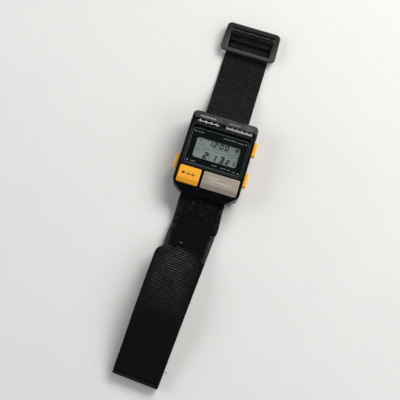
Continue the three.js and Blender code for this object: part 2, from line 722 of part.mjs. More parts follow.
const works = new THREE.Group();
head.add(works);
add(works, "module_frame", moduleFrame(), M.framePlastic);
add(works, "circuit_board", circuitBoard(), M.board);
add(works, "processor_chip", chip(-10.8, 8.5, 4.6, 7, 1.2), M.chip);
add(works, "pulse_amplifier_chip", chip(-10.4, -0.6, 4.6, 5, 1.1), M.chip);
add(works, "quartz_can", quartzCan(), M.steel);
add(works, "trimmer_capacitor", cylinderZ(1.5, -5.2, -10, 3.3, BOARD_UNDER_Z - 0.05, 14), M.brass);
add(works, "battery", batteryShape(), M.steel);
add(works, "battery_clamp", batteryClamp(), M.steel);
add(works, "battery_contact", batteryContact(), M.brass);
add(works, "buzzer_disc", cylinderZ(8.5, 1, -5, 1.08, 1.34, 28), M.brass);
add(works, "buzzer_spring", coil(0.8, 0.15, 4, 2.9), M.brass, 4, -9.6, 1.4);
add(works, "sensor_spring", coil(0.8, 0.14, 4, 2.5), M.brass, ...SENSOR_STUD, BOARD_TOP_Z + 0.05);
add(works, "pulse_switch_dome", switchDome(), M.steel);

const pulse = new THREE.Group();
watch.add(pulse);
add(pulse, "pulse_button", pulseButton(), M.yellow);
add(pulse, "pulse_button_clip", openRing(1.03, 1.9, 7, 7.3), M.steel, ...PULSE_STEM);
add(head, "pulse_button_seal", seal(1, 0.27), M.rubber, ...PULSE_STEM, CAVITY.roof + 0.31);
add(head, "pulse_button_spring", coil(1.7, 0.16, 3, 1.75), M.steel, ...PULSE_STEM, PULSE_FLOOR_Z + 0.05);

const SIDE_BUTTONS = [
  ["upper_right", 1, BUTTON_UPPER_Y],
  ["lower_right", 1, BUTTON_LOWER_Y],
  ["lower_left", -1, BUTTON_LOWER_Y],
];
for (const [name, side, y] of SIDE_BUTTONS) {
  const button = new THREE.Group();
  watch.add(button);
  add(button, `${name}_button`, sideButton(side, y), M.yellow);
  add(button, `${name}_clip`, sideClip(side, y), M.steel);
  add(head, `${name}_seal`, sideSeal(side, y), M.rubber);
  add(head, `${name}_spring`, sideSpring(side, y, 1.15, 3, 1.8), M.steel);
}
const set = new THREE.Group();
watch.add(set);
add(set, "set_button", setButton(), M.caseResin);
add(set, "set_clip", sideClip(-1, BUTTON_UPPER_Y), M.steel);
add(head, "set_seal", sideSeal(-1, BUTTON_UPPER_Y), M.rubber);
add(head, "set_spring", sideSpring(-1, BUTTON_UPPER_Y, 0.95, 2, 0.68), M.steel);

const upperStrap = new THREE.Group();
watch.add(upperStrap);
add(upperStrap, "upper_webbing", upperWebbing(), M.webbing);
add(upperStrap, "buckle_ring", buckleRing(), M.ringPlastic);

const lowerStrap = new THREE.Group();
watch.add(lowerStrap);
add(lowerStrap, "lower_webbing", lowerWebbing(), M.webbing);
add(lowerStrap, "loop_pad", loopPad(), M.hookLoop);
add(lowerStrap, "fold_bend", foldBend(), M.webbing);
add(lowerStrap, "flap_webbing", flapWebbing(), M.webbing);
add(lowerStrap, "hook_pad", hookPad(), M.hookLoop);

export default watch;
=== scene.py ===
import math
import random

import bmesh
import bpy
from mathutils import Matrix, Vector


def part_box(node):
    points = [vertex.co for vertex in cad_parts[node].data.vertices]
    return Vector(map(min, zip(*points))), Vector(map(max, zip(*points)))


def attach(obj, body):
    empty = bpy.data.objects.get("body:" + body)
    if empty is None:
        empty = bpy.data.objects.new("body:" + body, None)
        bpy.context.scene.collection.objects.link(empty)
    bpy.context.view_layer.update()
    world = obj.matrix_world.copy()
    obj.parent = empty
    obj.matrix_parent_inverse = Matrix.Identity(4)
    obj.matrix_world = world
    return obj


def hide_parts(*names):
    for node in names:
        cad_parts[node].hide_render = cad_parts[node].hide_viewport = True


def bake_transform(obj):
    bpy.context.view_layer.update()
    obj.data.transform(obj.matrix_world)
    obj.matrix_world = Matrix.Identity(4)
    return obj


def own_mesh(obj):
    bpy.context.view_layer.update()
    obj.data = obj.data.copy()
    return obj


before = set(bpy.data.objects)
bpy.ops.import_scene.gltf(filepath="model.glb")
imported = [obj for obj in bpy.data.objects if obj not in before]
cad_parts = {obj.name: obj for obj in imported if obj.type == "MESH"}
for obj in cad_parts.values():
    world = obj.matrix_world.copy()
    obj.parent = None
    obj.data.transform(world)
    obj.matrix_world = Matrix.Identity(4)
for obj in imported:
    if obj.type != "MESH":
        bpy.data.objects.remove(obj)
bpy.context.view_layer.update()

MM = 0.001
scene = bpy.context.scene
scene.view_settings.view_transform = "Standard"


# ---- Numbers from the frame, in millimetres ----------------------------------------------------

def box_mm(node):
    low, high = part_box(node)
    return [c / MM for c in low], [c / MM for c in high]


def middle_mm(node):
    return [(a + b) / 2 for a, b in zip(*box_mm(node))]


FACE_Z = box_mm("case_body")[1][2]
RING_LOW, RING_HIGH = box_mm("buckle_ring")
BAR_UP = middle_mm("upper_strap_bar")
BAR_LOW = middle_mm("lower_strap_bar")
MASK_TOP = box_mm("display_mask")[1][2]
LCD_TOP = box_mm("lcd_front_glass")[1][2]
KEY_X = middle_mm("pulse_button")[0]
KEY_TOP = box_mm("pulse_button")[1][2]
PLATE_X = middle_mm("sensor_plate")[0]
PLATE_TOP = box_mm("sensor_plate")[1][2]

STRAP_HALF = 12.5
THICK = 1.2
RIB = 1.38

# The fold at the long strap's end, and the flap's tip.
FOLD_Y = -124.4
FOLD_Z = 2.275
TIP_Y = -53.8

# The long strap turns a little in its own plane, and its flap lies a little askew on it.
YAW = math.radians(3.9)
YAW_START = -36.0
YAW_LENGTH = 8.0
DRIFT = 0.035

# Heights of its layers above its underside.
WEBBING_MIDDLE = 0.6
TAPE_MIDDLE, TAPE_TOP = 1.6, 1.9
SEWN_MIDDLE, SEWN_TOP = 1.68, 2.16
HOOK_FACE, HOOK_MIDDLE = 2.84, 3.02
FLAP_MIDDLE, FLAP_TOP = 3.85, 4.43

# The pin's y and z, its radius, and the half length of it that shows solid.
RING_PIN = (78.2, 2.05)
PIN_RADIUS = 0.7
PIN_HALF = 13.6
RING_WINDOW = {"low": 67.85, "high": 80.7, "half": 12.75}


def smooth(t):
    t = min(1.0, max(0.0, t))
    return t * t * (3 - 2 * t)


def mix(a, b, t):
    return a + (b - a) * t


# ---- Materials ---------------------------------------------------------------------------------

class Paint:
    """A node material under construction."""

    def __init__(self, name):
        self.material = bpy.data.materials.new(name)
        self.material.use_nodes = True
        self.tree = self.material.node_tree
        self.shader = self.tree.nodes["Principled BSDF"]
        self.output = self.tree.nodes["Material Output"]

    def node(self, kind, inputs=None, **settings):
        made = self.tree.nodes.new(kind)
        for key, value in settings.items():
            setattr(made, key, value)
        for key, value in (inputs or {}).items():
            self.put(made.inputs[key], value)
        return made

    def put(self, socket, value):
        if isinstance(value, bpy.types.NodeSocket):
            self.tree.links.new(value, socket)
        elif isinstance(value, (tuple, list)) and len(value) == 3 and socket.type == "RGBA":
            socket.default_value = (*value, 1)
        else:
            socket.default_value = value

    def set(self, **inputs):
        for key, value in inputs.items():
            self.put(self.shader.inputs[key.replace("_", " ")], value)
        return self

    def place(self):
        return self.node("ShaderNodeTexCoord").outputs["Object"]

    def uv(self):
        return self.node("ShaderNodeUVMap", uv_map="UVMap").outputs["UV"]

    def stretched(self, vector, scale):
        mapping = self.node("ShaderNodeMapping", {"Vector": vector})
        mapping.inputs["Scale"].default_value = scale
        return mapping.outputs["Vector"]

    def noise(self, vector, scale, detail=3.0, rough=0.55):
        return self.node(
            "ShaderNodeTexNoise",
            {"Vector": vector, "Scale": scale, "Detail": detail, "Roughness": rough},
        ).outputs["Fac"]

    def math(self, kind, a, b=0.0, c=0.0):
        made = self.node("ShaderNodeMath", operation=kind)
        for socket, value in zip(made.inputs, (a, b, c)):
            self.put(socket, value)
        return made.outputs[0]

    def plus(self, a, b):
        return self.math("ADD", a, b)

    def times(self, a, b):
        return self.math("MULTIPLY", a, b)

    def spread(self, value, low, high, new_low, new_high):
        return self.node(
            "ShaderNodeMapRange",
            {"Value": value, "From Min": low, "From Max": high, "To Min": new_low, "To Max": new_high},
        ).outputs[0]

    def colours(self, factor, a, b):
        made = self.node("ShaderNodeMix", data_type="RGBA")
        self.put(made.inputs[0], factor)
        self.put(made.inputs[6], a)
        self.put(made.inputs[7], b)
        return made.outputs[2]

    def axes(self, vector):
        return self.node("ShaderNodeSeparateXYZ", {"Vector": vector}).outputs

    def bump(self, height, distance, strength=1.0):
        inputs = {"Height": height, "Distance": distance, "Strength": strength}
        return self.node("ShaderNodeBump", inputs).outputs["Normal"]

    def show(self, shader):
        self.tree.links.new(shader, self.output.inputs["Surface"])


def moulded(name, dark, light, rough, bump=6e-6, scuffs=0.25, shine=0.5):
    """Moulded plastic: a fine spark-eroded grain, cloudy gloss and a few scuffs."""
    p = Paint(name)
    at = p.place()
    clouds = p.noise(at, 140, 4)
    grains = p.noise(at, 9000, 2)
    scuff = p.spread(p.noise(p.stretched(at, (900, 240, 900)), 1.0, 3), 0.6, 0.72, 0.0, scuffs)
    p.set(
        Base_Color=p.colours(p.math("MAXIMUM", clouds, scuff), dark, light),
        Roughness=p.plus(p.spread(clouds, 0.3, 0.7, *rough), p.times(scuff, 0.4)),
        Normal=p.bump(grains, bump),
        Specular_IOR_Level=shine,
    )
    return p.material


def ring_plastic(name, painted_shade_colour, wear_and_painted_highlight):
    """Moulded plastic with painted light: paler along the bar nearest the case (a painted highlight), darker
    towards the pin (painted shade).
    """
    p = Paint(name)
    at = p.place()
    _, y, _ = p.axes(at)
    cloud = p.noise(at, 240, 4, 0.6)
    fine = p.noise(at, 5200, 3)
    # Painted light: paler towards the bar nearest the case, darker towards the pin.
    painted_light_near_case = p.spread(p.plus(y, p.times(cloud, 0.004)), 0.0695, 0.081, 1, 0.12)
    colour = p.colours(p.times(painted_light_near_case, p.spread(cloud, 0.3, 0.7, 0.75, 1)), painted_shade_colour, wear_and_painted_highlight)
    scratch = p.noise(p.stretched(at, (500, 5200, 900)), 1.0, 4, 0.65)
    p.set(
        Base_Color=p.colours(p.spread(scratch, 0.64, 0.72, 0, 0.5), colour, (0.1, 0.11, 0.105)),
        Roughness=p.spread(fine, 0.3, 0.7, 0.32, 0.46),
        Specular_IOR_Level=0.2,
        Normal=p.bump(fine, 5e-6),
    )
    return p.material


def brushed(name, dark, light, along, rough, bump, metal=1.0, stain=0.5, shine=0.5):
    """Brushed metal: fine lines along one axis over uneven, lightly stained colour."""
    p = Paint(name)
    at = p.place()
    lines = p.noise(p.stretched(at, along), 1.0, 3, 0.6)
    cloud = p.noise(at, 260, 4, 0.6)
    both = p.plus(p.times(lines, 1 - stain), p.times(cloud, stain))
    p.set(
        Base_Color=p.colours(p.spread(both, 0.32, 0.68, 0, 1), dark, light),
        Metallic=metal,
        Roughness=p.spread(both, 0.3, 0.7, rough[1], rough[0]),
        Specular_IOR_Level=shine,
        Normal=p.bump(lines, bump),
    )
    return p.material


def rubber(name, colour):
    p = Paint(name)
    at = p.place()
    dust = p.noise(at, 900, 4)
    p.set(
        Base_Color=p.colours(p.spread(dust, 0.45, 0.75, 0, 1), colour, tuple(2.4 * c for c in colour)),
        Roughness=p.spread(dust, 0.3, 0.7, 0.6, 0.85),
        Normal=p.bump(p.noise(at, 6000, 2), 8e-6),
    )
    return p.material


def woven(name, groove, crown, dust, pale_ribs_from=None):
    """Ribbed nylon webbing. The UV map holds millimetres: across the strap, and along it. The crown colour on
    the rib crests is a painted highlight and the groove colour painted shade. The last argument is the length
    along the strap past which the middle of its ribs is painted paler: partly wear, partly painted highlight."""
    p = Paint(name)
    across, length, _ = p.axes(p.uv())
    at = p.place()
    wave = p.math("COSINE", p.times(length, 2 * math.pi / RIB))
    crest = p.math("POWER", p.spread(wave, -0.6, 1, 0, 1), 2.3)
    row = p.math("MODULO", p.math("FLOOR", p.math("DIVIDE", length, RIB)), 2.0)
    lane = p.plus(p.math("DIVIDE", across, 0.92), p.times(row, 0.5))
    threads = p.math("ABSOLUTE", p.math("SINE", p.times(lane, math.pi)))
    twist = p.noise(p.stretched(p.uv(), (5.2, 1.6, 1)), 1.0, 3)
    streak = p.spread(p.noise(p.stretched(p.uv(), (0.35, 1.1, 1)), 1.0, 3, 0.6), 0.34, 0.62, 0.2, 1)
    fluff = p.noise(at, 420, 5, 0.65)
    # The rib crests take a painted highlight and the grooves painted shade.
    lit = p.times(p.times(crest, streak), p.spread(threads, 0, 1, 0.35, 1))
    # Past the given length the ribs' middle is painted paler, partly wear and partly painted highlight,
    # dimmer at the edges.
    if pale_ribs_from is not None:
        lit = p.times(lit, p.spread(p.math("ABSOLUTE", across), 0, 11, 1, 0.55))
        patch = p.noise(p.stretched(p.uv(), (0.16, 0.11, 1)), 1.0, 3, 0.55)
        lit = p.times(lit, p.spread(patch, 0.36, 0.6, 0.3, 1))
        middle = p.spread(p.math("ABSOLUTE", across), 9.4, 10.8, 1, 0.12)
        past = p.spread(length, pale_ribs_from - 3, pale_ribs_from + 3, 0.04, 0.6)
        past = p.times(past, p.spread(length, pale_ribs_from + 5, pale_ribs_from + 27, 0.9, 2.1))
        lit = p.times(lit, p.times(middle, past))
    base = p.colours(lit, groove, crown)
    base = p.colours(p.spread(fluff, 0.6, 0.82, 0, 0.45), base, dust)
    height = p.plus(p.times(threads, 0.7), p.times(twist, 0.6))
    p.set(
        Base_Color=base,
        Roughness=p.spread(twist, 0.3, 0.7, 0.6, 0.85),
        Specular_IOR_Level=0.1,
        Sheen_Weight=0.02,
        Sheen_Roughness=0.45,
        Sheen_Tint=(0.5, 0.52, 0.55),
        Normal=p.bump(height, 7e-5, 0.8),
    )
    return p.material


def napped(name, colour, light):
    """The felted face of a loop or hook tape, and the threads in it."""
    p = Paint(name)
    at = p.place()
    nap = p.noise(at, 2600, 4, 0.7)
    patch = p.noise(at, 210, 3)
    p.set(
        Base_Color=p.colours(p.spread(p.times(nap, patch), 0.2, 0.42, 0, 1), colour, light),
        Roughness=0.9,
        Specular_IOR_Level=0.08,
        Sheen_Weight=0.02,
        Sheen_Roughness=0.5,
        Sheen_Tint=(0.45, 0.48, 0.52),
        Normal=p.bump(nap, 1.2e-4, 0.9),
    )
    return p.material


def thread(name, dark, light):
    p = Paint(name)
    wave = {"Vector": p.place(), "Scale": 1400, "Distortion": 3.0}
    ply = p.node("ShaderNodeTexWave", wave, bands_direction="DIAGONAL").outputs["Fac"]
    p.set(
        Base_Color=p.colours(ply, dark, light),
        Roughness=0.65,
        Specular_IOR_Level=0.25,
        Normal=p.bump(ply, 2.5e-5),
    )
    return p.material


def ink(name, colour, rough=0.5, wear=0.35):
    """Screen print: a thin film, a little broken where it has worn."""
    p = Paint(name)
    at = p.place()
    wear_and_painted_highlight = p.spread(p.noise(at, 1500, 3), 0.5, 0.75, 0, wear)
    p.set(
        Base_Color=p.colours(wear_and_painted_highlight, colour, tuple(0.35 * c for c in colour)),
        Roughness=rough,
        Normal=p.bump(p.noise(at, 7000, 2), 3e-6),
    )
    return p.material


def display_glass(name):
    """The cell: grey-green, browner and darker towards its upper edge and its right side, a painted shadow of
    the mask's edge.
    """
    p = Paint(name)
    at = p.place()
    x, y, _ = p.axes(at)
    grain = p.noise(at, 5200, 2)
    cloud = p.noise(at, 120, 2)
    # Painted shadow of the mask's edge, cast from the upper right: darker towards the upper edge and the
    # right side.
    up = p.spread(p.plus(y, p.times(x, 0.10)), 0.0062, 0.0094, 0, 1)
    side = p.spread(x, 0.004, 0.0125, 0, 0.45)
    unshadowed = p.colours(p.spread(cloud, 0.35, 0.65, 0, 1), (0.24, 0.285, 0.25), (0.29, 0.33, 0.29))
    with_painted_shadow = p.colours(p.math("MAXIMUM", up, side), unshadowed, (0.15, 0.15, 0.115))
    p.set(
        Base_Color=p.colours(p.spread(grain, 0.4, 0.7, 0, 0.25), with_painted_shadow, (0.24, 0.27, 0.24)),
        Roughness=p.spread(grain, 0.3, 0.7, 0.4, 0.55),
        Normal=p.bump(grain, 2e-6),
        Coat_Weight=0.4,
        Coat_Roughness=0.12,
    )
    return p.material


def crystal_glass(name):
    """Clear mineral glass with a few hair scratches, seen through except where it reflects."""
    p = Paint(name)
    at = p.place()
    scratch = p.noise(p.stretched(at, (2600, 90, 90)), 1.0, 3, 0.7)
    normal = p.bump(p.spread(scratch, 0.66, 0.72, 0, 1), 3e-7)
    clear = p.node("ShaderNodeBsdfTransparent", {"Color": (0.93, 0.95, 0.95)})
    gloss = p.node(
        "ShaderNodeBsdfGlossy",
        {"Color": (0.9, 0.94, 1.0), "Roughness": p.spread(scratch, 0.6, 0.74, 0.02, 0.08), "Normal": normal},
    )
    facing = p.node("ShaderNodeLayerWeight", {"Blend": 0.5, "Normal": normal}).outputs["Facing"]
    share = p.plus(p.times(p.math("POWER", facing, 5.0), 0.9), 0.022)
    blend = p.node("ShaderNodeMixShader", {0: share, 1: clear.outputs[0], 2: gloss.outputs[0]})
    p.show(blend.outputs[0])
    return p.material


def circuit(name):
    """Green solder mask over copper tracks."""
    p = Paint(name)
    at = p.place()
    tracks = p.node(
        "ShaderNodeTexBrick",
        {
            "Vector": at,
            "Scale": 420,
            "Mortar Size": 0.05,
            "Color1": (0.012, 0.085, 0.045),
            "Color2": (0.016, 0.105, 0.055),
            "Mortar": (0.04, 0.2, 0.1),
        },
    )
    p.set(
        Base_Color=tracks.outputs["Color"],
        Roughness=p.spread(p.noise(at, 900, 3), 0.3, 0.7, 0.28, 0.45),
        Normal=p.bump(tracks.outputs["Fac"], 1.5e-5),
    )
    return p.material


def striped(name):
    """A connector strip: thin conducting lines between clear silicone rubber."""
    p = Paint(name)
    at = p.place()
    bars = p.node("ShaderNodeTexWave", {"Vector": at, "Scale": 5000.0}, bands_direction="X")
    p.set(
        Base_Color=p.colours(bars.outputs["Fac"], (0.03, 0.03, 0.03), (0.6, 0.45, 0.42)),
        Roughness=p.spread(p.noise(at, 1500), 0.3, 0.7, 0.5, 0.7),
        Normal=p.bump(bars.outputs["Fac"], 1e-5),
    )
    return p.material


RESIN = moulded("case_resin", (0.0026, 0.0028, 0.0036), (0.0054, 0.0058, 0.007), (0.2, 0.3),
                bump=2.5e-6, scuffs=0.4, shine=0.17)
KEY_YELLOW = moulded("key_yellow", (0.80, 0.335, 0.016), (0.90, 0.42, 0.03), (0.3, 0.42), 3e-6, 0.0)
# The side buttons' yellow is painted brighter than the key's: painted light for sides that face away from the
# lamps.
SIDE_YELLOW_LIT = moulded("side_yellow_lit", (0.84, 0.40, 0.025), (0.93, 0.48, 0.05), (0.28, 0.4), 3e-6, 0.0)
# The ring's second colour is a painted highlight towards the case; its first, near black, is painted shade at
# the pin.
RING_BLACK = ring_plastic("ring_plastic", (0.0062, 0.0064, 0.006), (0.056, 0.059, 0.055))
SET_BLACK = moulded("set_resin", (0.012, 0.012, 0.014), (0.02, 0.021, 0.024), (0.4, 0.55), scuffs=0.4)
NATURAL = moulded("frame_plastic", (0.55, 0.52, 0.42), (0.7, 0.67, 0.58), (0.4, 0.55), scuffs=0.1)
CHIP = moulded("chip", (0.012, 0.012, 0.013), (0.022, 0.022, 0.024), (0.5, 0.65), scuffs=0.1)
TRIM = brushed("trim_metal", (0.0025, 0.0025, 0.003), (0.034, 0.034, 0.0355), (60, 1500, 1500),
               (0.26, 0.42), 4e-6, 0.55, 0.65, 0.2)
PLATE = brushed("sensor_steel", (0.37, 0.31, 0.255), (0.52, 0.45, 0.38), (55, 5200, 5200),
                (0.3, 0.44), 2.5e-6, 0.4, 0.35)
BACK = brushed("back_steel", (0.34, 0.345, 0.35), (0.56, 0.56, 0.57), (7000, 45, 7000), (0.26, 0.4), 3e-6)
STEEL = brushed("steel", (0.42, 0.43, 0.44), (0.62, 0.63, 0.64), (4200, 4200, 70), (0.25, 0.38), 2e-6)
BRASS = brushed("brass", (0.5, 0.34, 0.12), (0.72, 0.5, 0.22), (60, 4200, 4200), (0.3, 0.42), 2e-6)
REFLECTOR = brushed("reflector", (0.5, 0.52, 0.5), (0.6, 0.62, 0.6), (3000, 3000, 3000), (0.5, 0.6), 5e-6)
RUBBER = rubber("rubber", (0.012, 0.012, 0.013))
MASK = moulded("mask_print", (0.0034, 0.0037, 0.0044), (0.0054, 0.0059, 0.0068), (0.4, 0.5),
               bump=1e-6, scuffs=0.0, shine=0.06)
LCD = display_glass("lcd_glass")
GLASS = crystal_glass("crystal_glass")
BOARD = circuit("circuit_board")
ZEBRA = striped("zebra")
# On both webbings the crown colour is a painted highlight on the ribs and the groove colour painted shade.
WEBBING = woven("webbing", (0.001, 0.001, 0.0012), (0.033, 0.0345, 0.036), (0.008, 0.0085, 0.0095))
WORN_AND_HIGHLIT_WEBBING = woven("worn_and_highlit_webbing", (0.001, 0.001, 0.0012), (0.094, 0.095, 0.097),
                     (0.009, 0.0095, 0.0105), pale_ribs_from=37.5)
NAP = napped("loop_nap", (0.0014, 0.0014, 0.0017), (0.0042, 0.0044, 0.005))
PILE = thread("pile_thread", (0.0025, 0.0025, 0.003), (0.0075, 0.008, 0.009))
LINT = thread("lint", (0.05, 0.058, 0.063), (0.21, 0.235, 0.25))
DULL_LINT = thread("dull_lint", (0.028, 0.03, 0.033), (0.095, 0.1, 0.108))
HOOKS = moulded("hook_nylon", (0.01, 0.01, 0.011), (0.024, 0.024, 0.026), (0.3, 0.45), scuffs=0.0)
STITCH = thread("stitch_thread", (0.003, 0.003, 0.0035), (0.008, 0.008, 0.009))
PALE_STITCH = thread("pale_stitch_thread", (0.022, 0.022, 0.022), (0.06, 0.06, 0.058))
WHITE_INK = ink("white_ink", (0.62, 0.63, 0.62))
GREY_INK = ink("grey_ink", (0.24, 0.26, 0.26))
TEAL_INK = ink("teal_ink", (0.15, 0.2, 0.205))
DOT_INK = ink("dot_ink", (0.55, 0.66, 0.72), 0.35, 0.1)
RED_INK = ink("red_ink", (0.17, 0.012, 0.01))
DARK_INK = ink("dark_ink", (0.022, 0.014, 0.008))
ENGRAVED = ink("engraved_line", (0.60, 0.53, 0.44), 0.5, 0.3)
SEGMENT = ink("lcd_segment", (0.0015, 0.002, 0.0018), 0.7, 0.0)
SEGMENT_FAINT = ink("lcd_faint", (0.085, 0.105, 0.09), 0.6, 0.0)
SEGMENT_SHADE = ink("lcd_segment_shade", (0.16, 0.185, 0.155), 0.6, 0.0)


# ---- Making pieces -----------------------------------------------------------------------------

def arc(cx, cy, r, a0, a1, steps=40):
    """Points round a centre, by angle in degrees from the first axis towards the second."""
    angles = [math.radians(mix(a0, a1, i / steps)) for i in range(steps + 1)]
    return [(cx + r * math.cos(a), cy + r * math.sin(a)) for a in angles]


def circle(x, y, r, steps=20):
    return arc(x, y, r, 0, 360, steps)[:-1]


def rounded(x0, x1, y0, y1, r, steps):
    corners = ((x1 - r, y1 - r, 0), (x0 + r, y1 - r, 90), (x0 + r, y0 + r, 180), (x1 - r, y0 + r, 270))
    return [p for cx, cy, start in corners for p in arc(cx, cy, r, start, start + 90, steps)]


def section(half_a, half_b, corner, steps=8):
    """A rounded rectangle about the origin, with the same number of points for any size."""
    return rounded(-half_a, half_a, -half_b, half_b, min(corner, half_a, half_b), steps)


def skin(rows, around, closed=False, turned=False):
    """The faces between neighbouring rows of points, where each row is a loop of the same length."""
    faces = []
    for i in range(rows if closed else rows - 1):
        a, b = around * i, around * ((i + 1) % rows)
        for k in range(around):
            j = (k + 1) % around
            faces.append([a + k, b + k, b + j, a + j] if turned else [a + k, a + j, b + j, b + k])
    return faces


def ends(rows, around):
    """The faces that close the first and the last row."""
    return [list(range(around))[::-1], [around * (rows - 1) + k for k in range(around)]]


def mesh_of(name, points, faces, material):
    mesh = bpy.data.meshes.new(name)
    mesh.from_pydata([tuple(c * MM for c in p) for p in points], [], faces)
    mesh.update()
    mesh.materials.append(material)
    return mesh


def linked(name, mesh):
    made = bpy.data.objects.new(name, mesh)
    scene.collection.objects.link(made)
    return made


def shade_smooth(mesh):
    mesh.polygons.foreach_set("use_smooth", [True] * len(mesh.polygons))


def face_outward(mesh, weld=None):
    bm = bmesh.new()
    bm.from_mesh(mesh)
    if weld:
        bmesh.ops.remove_doubles(bm, verts=bm.verts, dist=weld)
    bmesh.ops.recalc_face_normals(bm, faces=bm.faces)
    bm.to_mesh(mesh)
    bm.free()


def assign(made, body, slot, node=None):
    """Parents a piece to its body and hides the CAD node it stands for; the slot is not used. A blended piece
    has no body.
    """
    if body:
        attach(made, body)
    if node:
        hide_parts(node)
    return made


class Solid:
    """Collects closed shapes in millimetres and turns them into one piece."""

    def __init__(self):
        self.points = []
        self.faces = []

    def add(self, points, faces):
        start = len(self.points)
        self.points += points
        self.faces += [[start + i for i in f] for f in faces]

    def prism(self, outline, height, thick):
        """A flat outline, counterclockwise, laid on a surface given as height(x, y)."""
        n = len(outline)
        low = [(x, y, height(x, y)) for x, y in outline]
        high = [(x, y, z + thick) for x, y, z in low]
        self.add(low + high, ends(2, n) + skin(2, n))

    def line(self, path, width, height, thick, closed=False):
        """A flat line of even width along a path, laid on a surface given as height(x, y)."""
        n = len(path)
        rows = []
        for i, (x, y) in enumerate(path):
            before = path[(i - 1) % n] if closed or i else path[i]
            after = path[(i + 1) % n] if closed or i < n - 1 else path[i]
            into = Vector((x - before[0], y - before[1]))
            out = Vector((after[0] - x, after[1] - y))
            into = into.normalized() if into.length > 1e-9 else out.normalized()
            out = out.normalized() if out.length > 1e-9 else into
            way = (into + out).normalized() if (into + out).length > 1e-6 else out
            wide = width / 2 / max(0.45, way.dot(out))
            side = Vector((-way.y, way.x)) * wide
            for sign, up in ((-1, 0), (1, 0), (1, thick), (-1, thick)):
                px, py = x + sign * side.x, y + sign * side.y
                rows.append((px, py, height(px, py) + up))
        self.add(rows, skin(n, 4, closed, True) + ([] if closed else ends(n, 4)))

    def tube(self, path, radius, sides=6, taper=1.0):
        """A round thread along a path of points in space, with closed ends."""
        path = [Vector(p) for p in path]
        n = len(path)
        side = None
        rows = []
        for i, p in enumerate(path):
            way = (path[min(i + 1, n - 1)] - path[max(i - 1, 0)]).normalized()
            if side is None:
                side = way.cross(Vector((0.13, 0.31, 0.94))).normalized()
            side = (side - way * side.dot(way)).normalized()
            other = way.cross(side)
            r = radius * (taper if i in (0, n - 1) else 1.0)
            for k in range(sides):
                a = 2 * math.pi * k / sides
                rows.append(tuple(p + (side * math.cos(a) + other * math.sin(a)) * r))
        self.add(rows, skin(n, sides) + ends(n, sides))

    def piece(self, name, material, body, slot, smooth_sides=False, node=None):
        mesh = mesh_of(name, self.points, self.faces, material)
        if smooth_sides:
            shade_smooth(mesh)
        return assign(linked(name, mesh), body, slot, node)


def softened(node, material, body, slot, width, steps=3):
    """Stands for a hard CAD node: the same solid, with its edges rounded as a moulding's are."""
    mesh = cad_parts[node].data.copy()
    mesh.materials.clear()
    bm = bmesh.new()
    bm.from_mesh(mesh)
    bmesh.ops.remove_doubles(bm, verts=bm.verts, dist=3e-6)
    bmesh.ops.dissolve_limit(bm, angle_limit=math.radians(0.8), verts=bm.verts, edges=bm.edges)
    bm.to_mesh(mesh)
    bm.free()
    shade_smooth(mesh)
    made = linked(node + "_finish", mesh)
    bevel = made.modifiers.new("edges", "BEVEL")
    bevel.width = width * MM
    bevel.segments = steps
    bevel.limit_method = "ANGLE"
    bevel.angle_limit = math.radians(28)
    bevel.miter_outer = "MITER_ARC"
    bevel.use_clamp_overlap = True
    even_shade = made.modifiers.new("shade", "WEIGHTED_NORMAL")
    even_shade.weight = 100
    even_shade.keep_sharp = True
    shown = made.evaluated_get(bpy.context.evaluated_depsgraph_get())
    done = bpy.data.meshes.new_from_object(shown)
    made.modifiers.clear()
    made.data = done
    done.materials.clear()
    done.materials.append(material)
    return assign(made, body, slot, node)


# ---- Camera, floor and light -------------------------------------------------------------------

camera = linked("camera", bpy.data.cameras.new("camera"))
camera.location = (0.01494, -0.1434, 0.44966)
camera.rotation_euler = [math.radians(a) for a in (14.92, -2.39, 16.61)]
camera.data.sensor_width = 36
camera.data.lens = 76.24
camera.data.clip_start = 0.01
camera.data.clip_end = 20
scene.camera = camera


def make_floor():
    """A pale tabletop. It is clear from below, so that it doesn't hide the underside."""
    mesh = bpy.data.meshes.new("floor")
    r = 40.0
    mesh.from_pydata([(-r, -r, 0), (r, -r, 0), (r, r, 0), (-r, r, 0)], [], [[0, 1, 2, 3]])
    floor = linked("floor", mesh)
    floor.location.z = -0.00005
    p = Paint("floor")
    at = p.place()
    p.set(
        Base_Color=p.colours(p.noise(at, 14, 2), (0.70, 0.695, 0.68), (0.74, 0.735, 0.72)),
        Roughness=0.85,
        Normal=p.bump(p.noise(at, 2500, 2), 4e-6),
    )
    back = p.node("ShaderNodeNewGeometry").outputs["Backfacing"]
    clear = p.node("ShaderNodeBsdfTransparent").outputs[0]
    p.show(p.node("ShaderNodeMixShader", {0: back, 1: p.shader.outputs[0], 2: clear}).outputs[0])
    mesh.materials.append(p.material)


LIT_SPOT = Vector((0, -0.02, 0))


def lamp(name, at, size, power, colour):
    data = bpy.data.lights.new(name, "AREA")
    data.shape = "RECTANGLE"
    data.size, data.size_y = size
    data.energy = power
    data.color = colour
    light = linked(name, data)
    light.location = at
    light.rotation_euler = (LIT_SPOT - Vector(at)).to_track_quat("-Z", "Y").to_euler()


make_floor()
lamp("key", (0.44, 0.83, 0.64), (0.9, 0.42), 16.5, (1.0, 0.985, 0.96))
lamp("side", (-1.05, -0.2, 0.6), (0.8, 0.5), 5.4, (0.95, 0.98, 1.0))
lamp("fill", (1.05, -0.1, 0.6), (0.8, 0.5), 4.6, (0.97, 0.98, 1.0))


